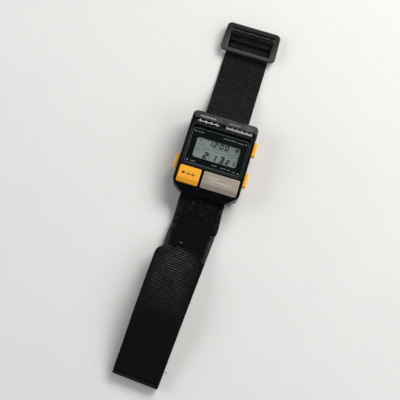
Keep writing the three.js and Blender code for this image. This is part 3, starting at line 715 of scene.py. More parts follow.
def make_world():
    """Pale walls under a dim ceiling, so that what faces up reflects little."""
    world = bpy.data.worlds.new("studio")
    scene.world = world
    world.use_nodes = True
    tree = world.node_tree
    spot = tree.nodes.new("ShaderNodeTexCoord")
    axes = tree.nodes.new("ShaderNodeSeparateXYZ")
    fade = tree.nodes.new("ShaderNodeMapRange")
    fade.interpolation_type = "SMOOTHSTEP"
    for socket, value in zip(fade.inputs[1:5], (0.22, 0.7, 0.78, 0.03)):
        socket.default_value = value
    tree.links.new(spot.outputs["Generated"], axes.inputs[0])
    tree.links.new(axes.outputs["Z"], fade.inputs[0])
    sky = tree.nodes["Background"]
    sky.inputs["Color"].default_value = (0.96, 0.98, 1.0, 1)
    tree.links.new(fade.outputs[0], sky.inputs["Strength"])


make_world()


# ---- Hard parts --------------------------------------------------------------------------------

softened("case_body", RESIN, "head", "case_resin", 0.22)
softened("top_trim", TRIM, "head", "trim_metal", 0.1, 2)
softened("case_back", BACK, "head", "steel", 0.12, 2)
softened("sensor_plate", PLATE, "head", "sensor_steel", 0.22)
softened("pulse_button", KEY_YELLOW, "pulse_key", "yellow_plastic", 0.25)
softened("set_button", SET_BLACK, "set_key", "case_resin", 0.12, 2)
softened("crystal", GLASS, "head", "crystal_glass", 0.06, 2)

CAP_DEPTH = 2.7
CAP_ROUND = 0.95
CAP_STEPS = 8


def side_button(side):
    """A push button: domed cap, bored underneath for its spring, on a round stem."""
    node = side + "_button"
    low, high = box_mm(node)
    sign = 1 if high[0] > 0 else -1
    tip_x, out_x = sorted((abs(low[0]), abs(high[0])))
    _, y, z = middle_mm(node)
    half_y, half_z = (high[1] - low[1]) / 2, (high[2] - low[2]) / 2
    base_x = out_x - CAP_DEPTH
    bore_x = base_x + 1.1
    stem_and_bore = ((tip_x, 0.6), (tip_x + 0.1, 0.7), (bore_x, 0.7), (bore_x, 1.5), (base_x, 1.5))
    rings = [(x, r, r, r) for x, r in stem_and_bore]
    rings += [(base_x, half_y - 0.12, half_z - 0.12, 0.5), (base_x + 0.12, half_y, half_z, 0.55)]
    for k in range(CAP_STEPS + 1):
        a = math.radians(90 * k / CAP_STEPS)
        inset = CAP_ROUND * (1 - math.cos(a))
        crown = 0.1 * (1 - math.cos(a))
        x = out_x - CAP_ROUND - 0.08 + CAP_ROUND * math.sin(a)
        rings.append((x, half_y - 0.7 * inset - crown, half_z - inset * 0.9, 0.55))
    rings.append((out_x, half_y * 0.5, half_z * 0.45, 0.4))
    points = []
    for x, half_a, half_b, r in rings:
        points += [(sign * x, y + a, z + b) for a, b in section(half_a, half_b, r)]
    around = len(points) // len(rings)
    faces = skin(len(rings), around) + ends(len(rings), around)
    solid = Solid()
    solid.add(points, faces if sign > 0 else [f[::-1] for f in faces])
    made = solid.piece(node + "_moulding", SIDE_YELLOW_LIT, side + "_key", "yellow_plastic", True, node)
    made.data.set_sharp_from_angle(angle=math.radians(38))


def button_spring(node, wire, turns):
    """A coil of round wire, as long as its CAD spring."""
    low, high = box_mm(node)
    axis = 2 if node.startswith("pulse") else 0
    u, v = [i for i in range(3) if i != axis]
    fixed, free = (low[axis], high[axis]) if high[axis] > 0 else (high[axis], low[axis])
    way = math.copysign(1, free - fixed)
    length = abs(free - fixed)
    radius = (high[u] - low[u]) / 2 - wire
    foot = middle_mm(node)
    foot[axis] = fixed
    path = []
    steps = 20 * turns
    for k in range(steps + 1):
        a = 2 * math.pi * turns * k / steps
        point = list(foot)
        point[axis] += way * mix(wire, length - wire, k / steps)
        point[u] += radius * math.cos(a)
        point[v] += radius * math.sin(a)
        path.append(point)
    solid = Solid()
    solid.tube(path, wire, 8)
    made = solid.piece(node + "_wire", STEEL, "head", "steel", True, node)
    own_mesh(made)


button_spring("pulse_button_spring", 0.16, 3)
button_spring("set_spring", 0.13, 2)
for side in ("upper_right", "lower_right", "lower_left"):
    side_button(side)
    button_spring(side + "_spring", 0.13, 3)
softened("crystal_gasket", RUBBER, "head", "rubber", 0.06, 2)
for i in range(1, 5):
    softened(f"back_screw_{i}", STEEL, "head", "steel", 0.06, 2)

# The CAD nodes that show as they are.
SEALS = ("pulse_button_seal", "upper_right_seal", "lower_right_seal", "lower_left_seal", "set_seal")
CLIPS = ("pulse_button_clip", "upper_right_clip", "lower_right_clip", "lower_left_clip", "set_clip")
BARS = ("upper_strap_bar", "lower_strap_bar")
for material, nodes in (
    (RUBBER, ("back_gasket", "sensor_seat") + SEALS),
    (STEEL, ("quartz_can", "battery", "battery_clamp", "pulse_switch_dome") + BARS + CLIPS),
    (BRASS, ("trimmer_capacitor", "battery_contact", "buzzer_disc", "buzzer_spring", "sensor_spring")),
    (MASK, ("display_mask",)),
    (LCD, ("lcd_front_glass", "lcd_rear_glass")),
    (REFLECTOR, ("lcd_reflector",)),
    (ZEBRA, ("zebra_strip_upper", "zebra_strip_lower")),
    (NATURAL, ("module_frame",)),
    (BOARD, ("circuit_board",)),
    (CHIP, ("processor_chip", "pulse_amplifier_chip")),
):
    for node in nodes:
        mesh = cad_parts[node].data
        mesh.materials.clear()
        mesh.materials.append(material)


# ---- Printing on the face ----------------------------------------------------------------------

PRINT = 0.018


def flat(z):
    return lambda x, y: z


def trace(x0, x1, y, tall, beats):
    """A pulse trace: flat, a small wave, a tall spike, and flat again for each beat."""
    shape = ((0.2, 0), (0.3, 0.28), (0.38, -0.1), (0.48, 1), (0.58, -0.55), (0.68, 0.12), (0.78, 0), (1, 0))
    step = (x1 - x0) / beats
    return [(x0, y)] + [(x0 + (b + u) * step, y + v * tall) for b in range(beats) for u, v in shape]


def ticks(solid, x0, x1, y, tall, count, width, height, thick):
    """A row of tick marks, every fifth one taller."""
    for k in range(count):
        x = mix(x0, x1, k / (count - 1))
        top = tall if k % 5 == 0 else 0.58 * tall
        solid.line([(x, y), (x, y + top)], width, height, thick)


def dashes(solid, x0, x1, y, width, shares, height, thick=PRINT):
    """Short strokes along a line: each share is a stroke's part of the length, or below zero a gap's."""
    total = sum(abs(s) for s in shares)
    x = x0
    for s in shares:
        step = (x1 - x0) * abs(s) / total
        if s > 0:
            solid.line([(x, y), (x + step, y)], width, height, thick)
        x += step


mask_z = flat(MASK_TOP)
frame_line = Solid()
frame_line.line(rounded(-15.9, 15.9, -6.9, 13.55, 1.7, 8), 0.22, mask_z, PRINT, closed=True)
frame_line.piece("face_frame_line", TEAL_INK, "head", "mask_print")

dots = Solid()
for x, y in ((-14.35, 11.65), (14.35, 11.65), (-14.35, -5.5), (14.35, -5.5)):
    dots.prism(circle(x, y, 0.33), mask_z, PRINT)
dots.piece("face_dots", DOT_INK, "head", "mask_print")

labels = Solid()
for x0, x1, y, width, shares in (
    (-12.9, -10.0, 11.6, 0.5, (1.2, -0.3, 0.8, -0.3, 1.2)),
    (-12.6, -9.9, -5.6, 0.5, (1.0, -0.3, 1.3, -0.3, 0.8)),
    (9.6, 13.0, 11.5, 0.5, (1.3, -0.3, 0.9, -0.3, 1.3)),
    (1.6, 8.6, 11.7, 0.42, (1.6, -0.3, 1.2, -0.3, 1.4, -0.6, 2.1, -0.3, 1.0)),
    (-0.6, 2.1, -4.9, 0.42, (1.2, -0.3, 1.0)),
    (4.5, 9.6, -5.1, 0.42, (1.2, -0.3, 1.4, -0.6, 1.2)),
    (10.9, 12.8, -5.5, 0.42, (1.0, -0.3, 1.0)),
):
    dashes(labels, x0, x1, y, width, shares, mask_z)
labels.piece("face_label_strokes", GREY_INK, "head", "mask_print")

red = Solid()
red.prism(rounded(-13.1, -11.8, 14.0, 14.5, 0.2, 3), mask_z, PRINT)
red.piece("face_red_mark", RED_INK, "head", "mask_print")

band_z = flat(FACE_Z - 0.002)
band = Solid()
band.line(trace(-15.0, -2.7, 17.45, 0.85, 4), 0.3, band_z, PRINT + 0.002)
ticks(band, 1.4, 15.7, 17.15, 1.35, 26, 0.24, band_z, PRINT + 0.002)
band.line([(1.2, 17.0), (15.9, 17.0)], 0.16, band_z, PRINT + 0.002)
band.piece("band_pulse_trace_and_scale", WHITE_INK, "head", "trim_metal")


def trim_z(x, y):
    """The trim's front face, which falls 1.52 mm over its 4.45 mm."""
    return 11.12 - (y - 18.9) * (1.52 / 4.45) + 0.001


trim_marks = Solid()
dashes(trim_marks, -14.4, -5.4, 20.6, 0.85, (1.1, -0.25, 0.8, -0.25, 1.1, -0.25, 1.2, -0.25, 0.9), trim_z)
dashes(trim_marks, 2.4, 8.6, 20.5, 0.4, (1.4, -0.3, 1.1, -0.3, 1.5), trim_z)
trim_marks.piece("trim_engraving", ink("trim_mark", (0.2, 0.2, 0.2), 0.4, 0.8), "head", "trim_metal")

# A pale line along the groove above the crystal: a painted highlight on the groove's edge.
groove = Solid()
groove.line([(-16.6, 16.42), (16.6, 16.42)], 0.14, band_z, 0.014)
groove.piece("face_groove_edge", ink("groove_highlight", (0.05, 0.052, 0.055)), "head", "case_resin")

key_z = flat(KEY_TOP - 0.001)
outline = []
for k in range(36):
    a = -2 * math.pi * k / 36
    wide = 16 * math.sin(a) ** 3
    tall = 13 * math.cos(a) - 5 * math.cos(2 * a) - 2 * math.cos(3 * a) - math.cos(4 * a)
    outline.append((KEY_X - 3.3 + wide / 17, -13.75 + tall / 17))
heart = Solid()
heart.prism(outline[::-1], key_z, PRINT)
heart.line(trace(KEY_X - 1.7, KEY_X + 3.5, -14.0, 1.0, 2), 0.36, key_z, PRINT)
heart.piece("pulse_key_heart", DARK_INK, "pulse_key", "yellow_plastic")

plate_z = flat(PLATE_TOP - 0.001)
cuts = Solid()
upper_row = (1.2, -0.3, 0.9, -0.3, 1.4, -0.3, 1.0)
lower_row = (1.5, -0.3, 1.8, -0.3, 1.1, -0.3, 1.9)
dashes(cuts, PLATE_X - 6.6, PLATE_X - 0.6, -12.5, 0.42, upper_row, plate_z, 0.008)
dashes(cuts, PLATE_X - 5.2, PLATE_X + 6.0, -14.2, 0.42, lower_row, plate_z, 0.008)
cuts.piece("sensor_plate_engraving", ENGRAVED, "head", "sensor_steel")


# ---- The display -------------------------------------------------------------------------------

LIT = {"0": "abcdef", "1": "bc", "2": "abged", "3": "abgcd", "A": "abcefg"}
SLANT = 0.1


def digit(solid, symbol, x, y, wide, tall, bar, height, thick):
    """A seven-segment numeral whose lower left corner is at x, y, with mitred corners."""
    h, g = bar / 2, 0.04
    mid = tall / 2

    def upright(outer, inner, end):
        way = 1 if end > mid else -1
        return [
            (outer, end - way * g),
            (inner, end - way * (bar + g)),
            (inner, mid + way * (h + g)),
            ((outer + inner) / 2, mid + way * g),
            (outer, mid + way * (0.15 * h + g)),
        ]

    shapes = {
        "a": [(g, tall), (bar + g, tall - bar), (wide - bar - g, tall - bar), (wide - g, tall)],
        "g": [(h + g, mid), (bar + g, mid - h), (wide - bar - g, mid - h),
              (wide - h - g, mid), (wide - bar - g, mid + h), (bar + g, mid + h)],
        "d": [(g, 0), (wide - g, 0), (wide - bar - g, bar), (bar + g, bar)],
        "f": upright(0, bar, tall),
        "e": upright(0, bar, 0),
        "b": upright(wide, wide - bar, tall),
        "c": upright(wide, wide - bar, 0),
    }
    for key in LIT[symbol]:
        outline = shapes[key]
        turn = sum(x0 * y1 - x1 * y0 for (x0, y0), (x1, y1) in zip(outline, outline[1:] + outline[:1]))
        if turn < 0:
            outline = outline[::-1]
        solid.prism([(x + u + SLANT * v, y + v) for u, v in outline], height, thick)


def blot(solid, x, y, r, height, thick):
    solid.prism([(px + SLANT * (py - y), py) for px, py in circle(x, y, r, 8)], height, thick)


def readout(solid, height, thick, dx=0.0, dy=0.0):
    """12:00 A over 2:13 21, as the display shows."""
    for symbol, x in (("1", -5.94), ("2", -3.0), ("0", 0.6), ("0", 3.55)):
        digit(solid, symbol, x + dx, 5.15 + dy, 2.15, 3.2, 0.74, height, thick)
    for y in (6.0, 7.4):
        blot(solid, -0.1 + dx, y + dy, 0.3, height, thick)
    solid.line([(7.65 + dx, 6.55 + dy), (8.25 + dx, 6.55 + dy)], 0.42, height, thick)
    digit(solid, "A", 9.3 + dx, 5.45 + dy, 2.0, 2.5, 0.66, height, thick)
    for symbol, x in (("2", -7.0), ("1", -2.3), ("3", 2.1)):
        digit(solid, symbol, x + dx, -2.5 + dy, 2.8, 4.0, 0.95, height, thick)
    for y in (-1.45, 0.3):
        blot(solid, -3.1 + dx, y + dy, 0.36, height, thick)
    for symbol, x in (("2", 5.9), ("1", 8.7)):
        digit(solid, symbol, x + dx, -2.3 + dy, 2.2, 2.95, 0.76, height, thick)


segments = Solid()
readout(segments, flat(LCD_TOP + 0.02), 0.012)
segments.piece("lcd_segments", SEGMENT, "head", "lcd_glass")
shade = Solid()
readout(shade, flat(LCD_TOP + 0.002), 0.006, 0.28, -0.34)
shade.piece("lcd_segment_shadows", SEGMENT_SHADE, "head", "lcd_glass")

# The display's printed diagram: three lines that meet, a ring with two leads, and small marks.
FAINT = 0.006
faint_z = flat(LCD_TOP + 0.012)
faint = Solid()
for path in (
    [(-12.3, 4.95), (-8.7, 4.95), (-5.7, 3.0), (-4.6, 2.85), (6.1, 2.95)],
    [(-12.3, 2.0), (-8.4, 2.0), (-6.8, 2.75), (-5.7, 3.0)],
    [(-4.8, 2.95), (-4.0, 4.05), (6.3, 4.4)],
    [(7.9, 3.9), (9.4, 4.5), (12.2, 4.5)],
    [(7.9, 3.2), (9.2, 2.8), (12.2, 2.8)],
):
    faint.line(path, 0.26, faint_z, FAINT)
faint.line(circle(6.95, 3.7, 0.7, 16), 0.26, faint_z, FAINT, closed=True)
faint.prism(circle(-9.8, 7.1, 0.6), faint_z, FAINT)
faint.prism(circle(-10.7, 7.3, 0.35), faint_z, FAINT)
faint.line([(6.9, 1.9), (7.5, 1.9)], 0.34, faint_z, FAINT)
faint.line([(8.1, 1.95), (9.1, 1.95)], 0.34, faint_z, FAINT)
faint.piece("lcd_faint_lines", SEGMENT_FAINT, "head", "lcd_glass")


# ---- Straps ------------------------------------------------------------------------------------

def laid(x, y, drift=0.0):
    """A straight strap's point, on the slightly turned line that the long strap follows."""
    x -= drift * (y - FOLD_Y)
    gone = YAW_START - y
    if gone <= 0:
        return x, y
    radius = YAW_LENGTH / YAW
    angle = YAW * min(1.0, gone / YAW_LENGTH)
    rest = max(0.0, gone - YAW_LENGTH)
    mid_x = -radius * (1 - math.cos(angle)) - rest * math.sin(angle)
    mid_y = YAW_START - radius * math.sin(angle) - rest * math.cos(angle)
    return mid_x + x * math.cos(angle), mid_y - x * math.sin(angle)


def upper_middle(y):
    """Height of the middle of the short strap's webbing."""
    return mix(4.6, 0.6, smooth((y - 22) / 26))


def lower_underside(y):
    """Height of the long strap's underside: down to the table, then over a low arch."""
    if y > -40:
        return 3.45 * (1 - smooth((-22 - y) / 18))
    arch = smooth((-40 - y) / 47) if y > -87 else 1 - smooth((-87 - y) / 37.4)
    return 5.2 * arch + 0.05 * smooth((-40 - y) / 20)


def off_line(height, y, off):
    """The point at a distance off a line that is given as a height for each y."""
    slope = (height(y + 0.01) - height(y - 0.01)) / 0.02
    long = math.hypot(1, slope)
    return y - off * slope / long, height(y) + off / long


def sampled(height, y0, y1, off):
    n = max(2, int(abs(y1 - y0) / 0.1))
    return [off_line(height, mix(y0, y1, i / n), off) for i in range(n + 1)]


def even(path, step):
    """The same path with evenly spaced points, and the length along it at each."""
    lengths = [0.0]
    for (a, b), (c, d) in zip(path, path[1:]):
        lengths.append(lengths[-1] + math.hypot(c - a, d - b))
    count = max(2, int(round(lengths[-1] / step)))
    points, k = [], 0
    for i in range(count + 1):
        want = lengths[-1] * i / count
        while k < len(lengths) - 2 and lengths[k + 1] < want:
            k += 1
        gap = lengths[k + 1] - lengths[k]
        t = (want - lengths[k]) / gap if gap > 1e-9 else 0.0
        points.append((mix(path[k][0], path[k + 1][0], t), mix(path[k][1], path[k + 1][1], t), want))
    return points


END_ROUND = 0.5
WOBBLE_ROWS = 9


def strip(name, path, thick, material, body, slot, node=None, drift=None, ribs=0.25, columns=34, half=None,
          rough_top=0.0, seed=1, round_ends=True, rows_per_rib=7, rib_fade=None, shift=None, wavy=0.05):
    """A woven strip along a path of (y, z) points of its middle line: ribbed on both faces, with round
    edges. half, shift and rib_fade vary its width, its sideways place and its ribs along the way."""
    rng = random.Random(seed)
    rows = even(path, RIB / rows_per_rib)
    n = len(rows)
    flat_half = 1 - 0.45 * thick / STRAP_HALF
    across = [mix(-flat_half, flat_half, k / columns) for k in range(columns + 1)]
    turns = [math.pi * k / 5 for k in range(1, 5)]
    edge = [(flat_half + (1 - flat_half) * math.sin(a), math.cos(a)) for a in turns]
    outline = [(u, 1.0) for u in across] + edge + [(-u, -1.0) for u in across] + [(-u, -c) for u, c in edge]
    m = len(outline)
    points, uvs = [], []
    total = rows[-1][2]
    wobble = [rng.uniform(-wavy, wavy) for _ in range(n // WOBBLE_ROWS + 3)]
    for j, (y, z, s) in enumerate(rows):
        y0, z0, _ = rows[max(0, j - 1)]
        y1, z1, _ = rows[min(n - 1, j + 1)]
        long = math.hypot(y1 - y0, z1 - z0) or 1.0
        ny, nz = -(z1 - z0) / long, (y1 - y0) / long
        w = half(y) if half else STRAP_HALF
        f = j / WOBBLE_ROWS
        w_edge = mix(wobble[int(f)], wobble[int(f) + 1], smooth(f - int(f)))
        from_end = min(s, total - s)
        full = 1.0
        if round_ends and from_end < END_ROUND:
            full = min(1.0, math.sqrt(max(0.0, 1 - (1 - from_end / END_ROUND) ** 2)) + 0.25)
        ridge = abs(math.cos(math.pi * s / RIB)) ** 1.5
        other = abs(math.sin(math.pi * s / RIB)) ** 1.5
        depth = ribs * (rib_fade(s) if rib_fade else 1.0)
        for u, c in outline:
            relief = ridge if c > 0 else other
            off = c * (thick / 2 * full - depth * (1 - relief))
            if rough_top and abs(c) == 1.0:
                off += c * rough_top * (rng.random() - 0.6)
            x = u * w + math.copysign(w_edge, u) * min(1.0, abs(u))
            if shift:
                x += shift(y)
            py, pz = y + ny * off, z + nz * off
            if drift is not None:
                x, py = laid(x, py, drift)
            points.append((x, py, pz))
            uvs.append((u * w, s))
    last = 2 * columns + 5
    cap = [[k, last - k, last - k - 1, k + 1] for k in range(columns)]
    cap.append([columns, last - columns] + [columns + 4 - k for k in range(4)])
    cap.append([last, 0] + [last + 4 - k for k in range(4)])
    faces = skin(n, m) + cap + [[(n - 1) * m + i for i in f[::-1]] for f in cap]
    mesh = mesh_of(name, points, faces, material)
    layer = mesh.uv_layers.new(name="UVMap")
    for loop in mesh.loops:
        layer.data[loop.index].uv = uvs[loop.vertex_index]
    shade_smooth(mesh)
    face_outward(mesh)
    return assign(linked(name, mesh), body, slot, node)


# Lengths, gaps and radii of the stitches in each kind of seam.
RETURN_SEAM = (1.5, 0.8, 0.13)
BAR_SEAM = (2.0, 0.7, 0.15)
TAPE_SEAM = (2.1, 0.8, 0.14)
FLAP_SEAM = (2.1, 0.8, 0.11)


def stitches(solid, place, path, seam, seed, proud=0.11):
    """A row of lock stitches along a path of (x, y); place(x, y, lift) gives the point in space."""
    length, gap, radius = seam
    rng = random.Random(seed)
    for (x0, y0), (x1, y1) in zip(path, path[1:]):
        count = max(1, int(round(math.hypot(x1 - x0, y1 - y0) / (length + gap))))
        for k in range(count):
            a, b = (k + 0.12) / count, (k + 0.12 + length / (length + gap)) / count
            line = []
            for i in range(6):
                t = mix(a, min(1.0, b), i / 5)
                lift = proud * math.sin(math.pi * i / 5) - 0.06
                sway = rng.uniform(-0.03, 0.03)
                line.append(place(mix(x0, x1, t) + sway, mix(y0, y1, t), lift))
            solid.tube(line, radius, 6, 0.6)


# The short strap: round the bar, out over the table, round the ring's pin, and back to its sewn end.
WRAP = 0.8 + 0.12 + THICK / 2
PIN_WRAP = PIN_RADIUS + 0.12 + THICK / 2
RETURN_Y = (77.6, 77.0, 76.4, 75.8, 75.2, 74.6, 74.0, 73.5)


def return_middle(y):
    return mix(1.84, RING_PIN[1] + PIN_WRAP, smooth((y - 74.8) / 3.4))


upper_path = [(25.8, 3.42), (24.2, 3.3), (22.4, 3.1)]
upper_path += arc(BAR_UP[1], BAR_UP[2], WRAP, -90, -270)
upper_path += [(22.0, 5.95), (23.4, 5.45), (24.8, 4.95), (26.4, upper_middle(26.4) + 0.25)]
upper_path += sampled(upper_middle, 28.0, 74.0, 0.0)
upper_path += [(75.5, 0.6), (77.0, 0.61)]
upper_path += arc(*RING_PIN, PIN_WRAP, -88, 90, 30)
upper_path += [(y, return_middle(y)) for y in RETURN_Y]
strip("upper_webbing_strap", upper_path, THICK, WEBBING, "upper_strap", "webbing", "upper_webbing", seed=5)


def on_upper(x, y, lift):
    return x, *off_line(upper_middle, y, THICK / 2 + lift - 0.02)


def on_return(x, y, lift):
    return x, y, return_middle(y) + THICK / 2 + lift - 0.03


pale = Solid()
stitches(pale, on_return, [(-11.3, 74.0), (11.3, 74.0)], RETURN_SEAM, 11)
stitches(pale, on_return, [(11.3, 75.1), (-11.3, 75.1)], RETURN_SEAM, 12)
pale.piece("upper_strap_return_stitches", PALE_STITCH, "upper_strap", "webbing", True)
seam = Solid()
stitches(seam, on_upper, [(-11.2, 26.6), (11.2, 26.6)], BAR_SEAM, 13)
stitches(seam, on_upper, [(-11.2, 28.4), (11.2, 28.4)], BAR_SEAM, 14)
seam.piece("upper_strap_bar_stitches", STITCH, "upper_strap", "webbing", True)

# The long strap: from its end over the bar, round the bar, and along the underside to the fold.
lower_path = [(-23.6, 5.28), (-22.6, 5.62), (-21.6, 5.98)]
lower_path += arc(BAR_LOW[1], BAR_LOW[2], WRAP, 98, -90)
lower_path += [(-21.9, 3.16), (-23.6, 3.5)]
lower_path += sampled(lower_underside, -25.5, FOLD_Y, WEBBING_MIDDLE)
strip("lower_webbing_strap", lower_path, THICK, WEBBING, "lower_strap", "webbing", "lower_webbing",
      drift=0.0, seed=6)


def jog(y):
    """How far the sewn layer and the tape beside it sit to the right of the strap's middle."""
    if y > -38.5:
        return 0.5 * smooth((-28.0 - y) / 9.0)
    return 0.5 - 0.62 * smooth((-38.5 - y) / 3.0) + 0.12 * smooth((-44.0 - y) / 10.0)


# The layer sewn over the strap's start, then the loop tape on its upper face, and the pile of both.
FELT = {"drift": 0.0, "ribs": 0.0, "rows_per_rib": 4, "columns": 60, "shift": jog}
sewn_path = sampled(lower_underside, -24.5, -38.9, SEWN_MIDDLE)
strip("sewn_layer", sewn_path, 1.0, NAP, "lower_strap", "hook_and_loop", rough_top=0.12, seed=12, **FELT)
loop_path = sampled(lower_underside, -38.4, -121.0, TAPE_MIDDLE)
strip("loop_tape", loop_path, 0.62, NAP, "lower_strap", "hook_and_loop", "loop_pad",
      rough_top=0.16, seed=7, **FELT)


def on_long_strap(top, drift=0.0, shift=lambda y: 0.0):
    """For a layer whose top is that high above the underside: where (x, y) at a lift is in space."""
    def place(x, y, lift):
        py, pz = off_line(lower_underside, y, top + lift)
        return *laid(x + shift(y), py, drift), pz

    return place


on_loop = on_long_strap(TAPE_TOP, shift=jog)
on_sewn = on_long_strap(SEWN_TOP, shift=jog)
on_flap = on_long_strap(FLAP_TOP, DRIFT)


def fuzz(name, count, place, span, material, reach, tall, radius, seed, at_edge=False):
    """Small loops of thread standing on a tape, each with its own size, turn and lean."""
    rng = random.Random(seed)
    solid = Solid()
    for _ in range(count):
        y = rng.uniform(*span)
        x = rng.uniform(-12.1, 12.1)
        if at_edge:
            x = math.copysign(12.45 - abs(rng.gauss(0, 1.15)), x)
        turn = rng.uniform(0, 2 * math.pi)
        wide, high = rng.uniform(*reach), rng.uniform(*tall)
        lean = rng.uniform(-0.5, 0.5)
        line = []
        for i in range(7):
            along = (i / 6 - 0.5) * wide
            out = math.sin(math.pi * i / 6) * high
            line.append(place(
                x + along * math.cos(turn) - lean * out * math.sin(turn),
                y + along * math.sin(turn) + lean * out * math.cos(turn),
                out - 0.06,
            ))
        solid.tube(line, radius, 3)
    solid.piece(name, material, "lower_strap", "hook_and_loop", True)


fuzz("loop_pile_open", 1700, on_loop, (-57.5, -38.0), PILE, (0.4, 1.1), (0.15, 0.5), 0.045, 21)
fuzz("loop_pile_covered", 1500, on_loop, (-120.5, -57.5), PILE, (0.5, 1.2), (0.1, 0.35), 0.05, 22)
fuzz("sewn_pile", 1300, on_sewn, (-38.6, -24.5), PILE, (0.5, 1.4), (0.12, 0.45), 0.045, 23)
fuzz("sewn_lint", 110, on_sewn, (-36.0, -24.5), DULL_LINT, (0.4, 1.1), (0.1, 0.4), 0.04, 26)
fuzz("loop_edge_lint", 560, on_loop, (-57.0, -40.5), LINT, (0.4, 1.4), (0.05, 0.5), 0.045, 24, True)
fuzz("sewn_edge_lint", 140, on_sewn, (-38.5, -26.0), LINT, (0.4, 1.2), (0.05, 0.35), 0.035, 25, True)

streaks = Solid()
rng = random.Random(27)
for _ in range(46):
    x, y = rng.uniform(-11.8, 11.8), -25.4 - 7.5 * rng.random() ** 1.6
    run, sway = rng.uniform(1.0, 3.2), rng.uniform(-0.5, 0.5)
    line = []
    for i in range(6):
        t = i / 5 - 0.5
        line.append(on_sewn(x + sway * t, y - run * t, 0.1 + 0.14 * math.sin(math.pi * i / 5)))
    streaks.tube(line, 0.05, 4, 0.5)
streaks.piece("sewn_layer_streaks", DULL_LINT, "lower_strap", "hook_and_loop", True)

lower_seams = Solid()
for seed, place, seam, path in (
    (31, on_sewn, BAR_SEAM, [(-11.0, -37.2), (11.0, -37.2)]),
    (32, on_sewn, BAR_SEAM, [(-11.0, -27.0), (11.0, -27.0)]),
    (33, on_sewn, BAR_SEAM, [(-11.2, -37.2), (-11.2, -27.0)]),
    (34, on_sewn, BAR_SEAM, [(11.2, -37.2), (11.2, -27.0)]),
    (35, on_loop, TAPE_SEAM, [(-11.5, -40.0), (-11.5, -120.0)]),
    (36, on_loop, TAPE_SEAM, [(11.5, -40.0), (11.5, -120.0)]),
    (37, on_loop, TAPE_SEAM, [(-11.5, -40.0), (11.5, -40.0)]),
):
    stitches(lower_seams, place, path, seam, seed)
lower_seams.piece("lower_strap_stitches", STITCH, "lower_strap", "webbing", True)

# The fold: a half turn of webbing at the long strap's end.
fold = strip("fold_webbing", arc(FOLD_Y, FOLD_Z, 1.625, -90, -270), THICK, WEBBING, None, "webbing",
             "fold_bend", drift=0.0, seed=8, round_ends=False, rows_per_rib=9)
fold_x, fold_y = (c * MM for c in laid(0, FOLD_Y))
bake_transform(fold)


def crowned(tip_y, crown, full):
    """Half the width at each y of a strip with a crowned tip."""
    def half(y):
        inward = max(0.02, tip_y - y)
        return full if inward >= crown else full * (1 - (1 - inward / crown) ** 2.2) ** (1 / 3)

    return half


# The flap, ribbed face up, and the hook tape under it.
flap_path = sampled(lower_underside, FOLD_Y, TIP_Y, FLAP_MIDDLE)
strip("flap_webbing_strap", flap_path, THICK, WORN_AND_HIGHLIT_WEBBING, "flap", "webbing", "flap_webbing",
      drift=DRIFT, half=crowned(TIP_Y, 7, STRAP_HALF), seed=9, ribs=0.27, wavy=0.13,
      rib_fade=lambda s: mix(0.55, 1.0, smooth((s - 33) / 6)))

tip_seam = [(-11.0, -61.0), (-8.6, -57.0), (-4.0, -55.6), (4.0, -55.6), (8.6, -57.0), (11.0, -61.0)]
flap_seams = Solid()
for seed, path in (
    (41, [(-11.0, -61.0), (-11.0, -103.5)]),
    (42, [(11.0, -103.5), (11.0, -61.0)]),
    (43, [(-11.0, -103.5), (11.0, -103.5)]),
    (44, tip_seam),
):
    stitches(flap_seams, on_flap, path, FLAP_SEAM, seed, 0.05)
flap_seams.piece("flap_stitches", STITCH, "flap", "webbing", True)

HOOK_ROW, HOOK_GAP = 1.05, 1.15
HOOK_TIP_Y = -55.8
hook_half = crowned(HOOK_TIP_Y, 6.5, STRAP_HALF - 1)
hook_path = sampled(lower_underside, -104.0, HOOK_TIP_Y, HOOK_MIDDLE)
strip("hook_tape", hook_path, 0.42, NAP, "flap", "hook_and_loop", "hook_pad",
      drift=DRIFT, half=hook_half, ribs=0.05, seed=10, rows_per_rib=5)

hooks = Solid()
rng = random.Random(51)
row_y = -103.2
while row_y < HOOK_TIP_Y - 0.8:
    limit = hook_half(row_y) - 0.9
    count = int(2 * limit / HOOK_GAP)
    for k in range(count + 1):
        x = -limit + 2 * limit * k / max(1, count) + rng.uniform(-0.08, 0.08)
        y = row_y + rng.uniform(-0.08, 0.08)
        way = 1 if k % 2 else -1
        line = []
        for a in range(6):
            turn = math.radians(36 * a)
            off = HOOK_FACE - 0.3 * math.sin(min(turn, math.pi / 2)) + (0.09 * (a - 2.5) if a > 2 else 0)
            py, pz = off_line(lower_underside, y + way * 0.16 * (1 - math.cos(turn)), off)
            line.append((*laid(x, py, DRIFT), pz))
        hooks.tube(line, 0.07, 4)
    row_y += HOOK_ROW
hooks.piece("hook_tape_hooks", HOOKS, "flap", "hook_and_loop", True)

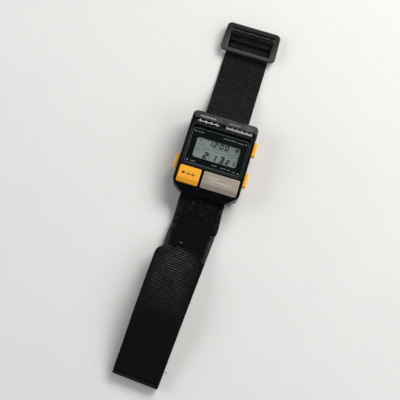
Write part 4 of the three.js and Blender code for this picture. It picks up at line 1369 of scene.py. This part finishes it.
# A pulled thread at the long strap's edge, and a speck of lint on the loops.
pulled = Solid()
loose_end = ((12.2, -116.9, 0.9), (12.9, -117.0, 1.1), (13.6, -116.7, 0.9), (14.3, -117.2, 0.4))
pulled.tube([(*laid(x, y), z) for x, y, z in loose_end], 0.13, 6, 0.5)
pulled.piece("pulled_thread", STITCH, "lower_strap", "webbing", True)
speck = Solid()
rng = random.Random(61)
for _ in range(9):
    x, y = -3.6 + rng.uniform(-0.35, 0.35), -50.2 + rng.uniform(-0.25, 0.25)
    a = rng.uniform(0, math.pi)
    line = []
    for t in (-1, -0.3, 0.4, 1):
        line.append(on_loop(x + 0.28 * t * math.cos(a), y + 0.28 * t * math.sin(a), 0.42 + 0.1 * (1 - t * t)))
    speck.tube(line, 0.07, 4, 0.5)
WHITE_LINT = ink("lint_white", (0.42, 0.43, 0.42), 0.9, 0.1)
speck.piece("lint_speck", WHITE_LINT, "lower_strap", "hook_and_loop", True)


# ---- The ring buckle ---------------------------------------------------------------------------

BAR_SIZE = 2.4


def ring_loop(low, high, half_low, half_high, corner, steps=10, straight=8):
    """Points round a rounded trapezium, the same number on each side and corner for any size."""
    corners = [
        arc(half_high - corner, high - corner, corner, 0, 90, steps),
        arc(corner - half_high, high - corner, corner, 90, 180, steps),
        arc(corner - half_low, low + corner, corner, 180, 270, steps),
        arc(half_low - corner, low + corner, corner, 270, 360, steps),
    ]
    points = []
    for here, following in zip(corners, corners[1:] + corners[:1]):
        (x0, y0), (x1, y1) = here[-1], following[0]
        points += here + [(mix(x0, x1, k / straight), mix(y0, y1, k / straight)) for k in range(1, straight)]
    return points


half = (RING_HIGH[0] - RING_LOW[0]) / 2
window = RING_WINDOW
outer = ring_loop(RING_LOW[1], RING_HIGH[1], half, half - 0.4, 2.7)
inner = ring_loop(window["low"], window["high"], window["half"], window["half"], 0.8)
bar = section(BAR_SIZE / 2, BAR_SIZE / 2, 0.5, 5)
points = []
for (ox, oy), (ix, iy) in zip(outer, inner):
    for a, b in bar:
        u, v = 0.5 + a / BAR_SIZE, 0.5 + b / BAR_SIZE
        points.append((mix(ix, ox, u), mix(iy, oy, u), mix(RING_LOW[2], RING_HIGH[2], v)))
solid = Solid()
solid.add(points, skin(len(outer), len(bar), True, True))
ring = solid.piece("buckle_ring_moulding", RING_BLACK, "ring", "ring_plastic", True, "buckle_ring")
face_outward(ring.data, weld=1e-6)
evened = ring.modifiers.new("flat faces", "WEIGHTED_NORMAL")
evened.weight = 100
pin = Solid()
pin.tube([(x, *RING_PIN) for x in (-PIN_HALF, -8.0, 0.0, 8.0, PIN_HALF)], PIN_RADIUS, 24)
rod = pin.piece("ring_pin", RING_BLACK, "ring", "ring_plastic", True)
rod.data.set_sharp_from_angle(angle=math.radians(40))
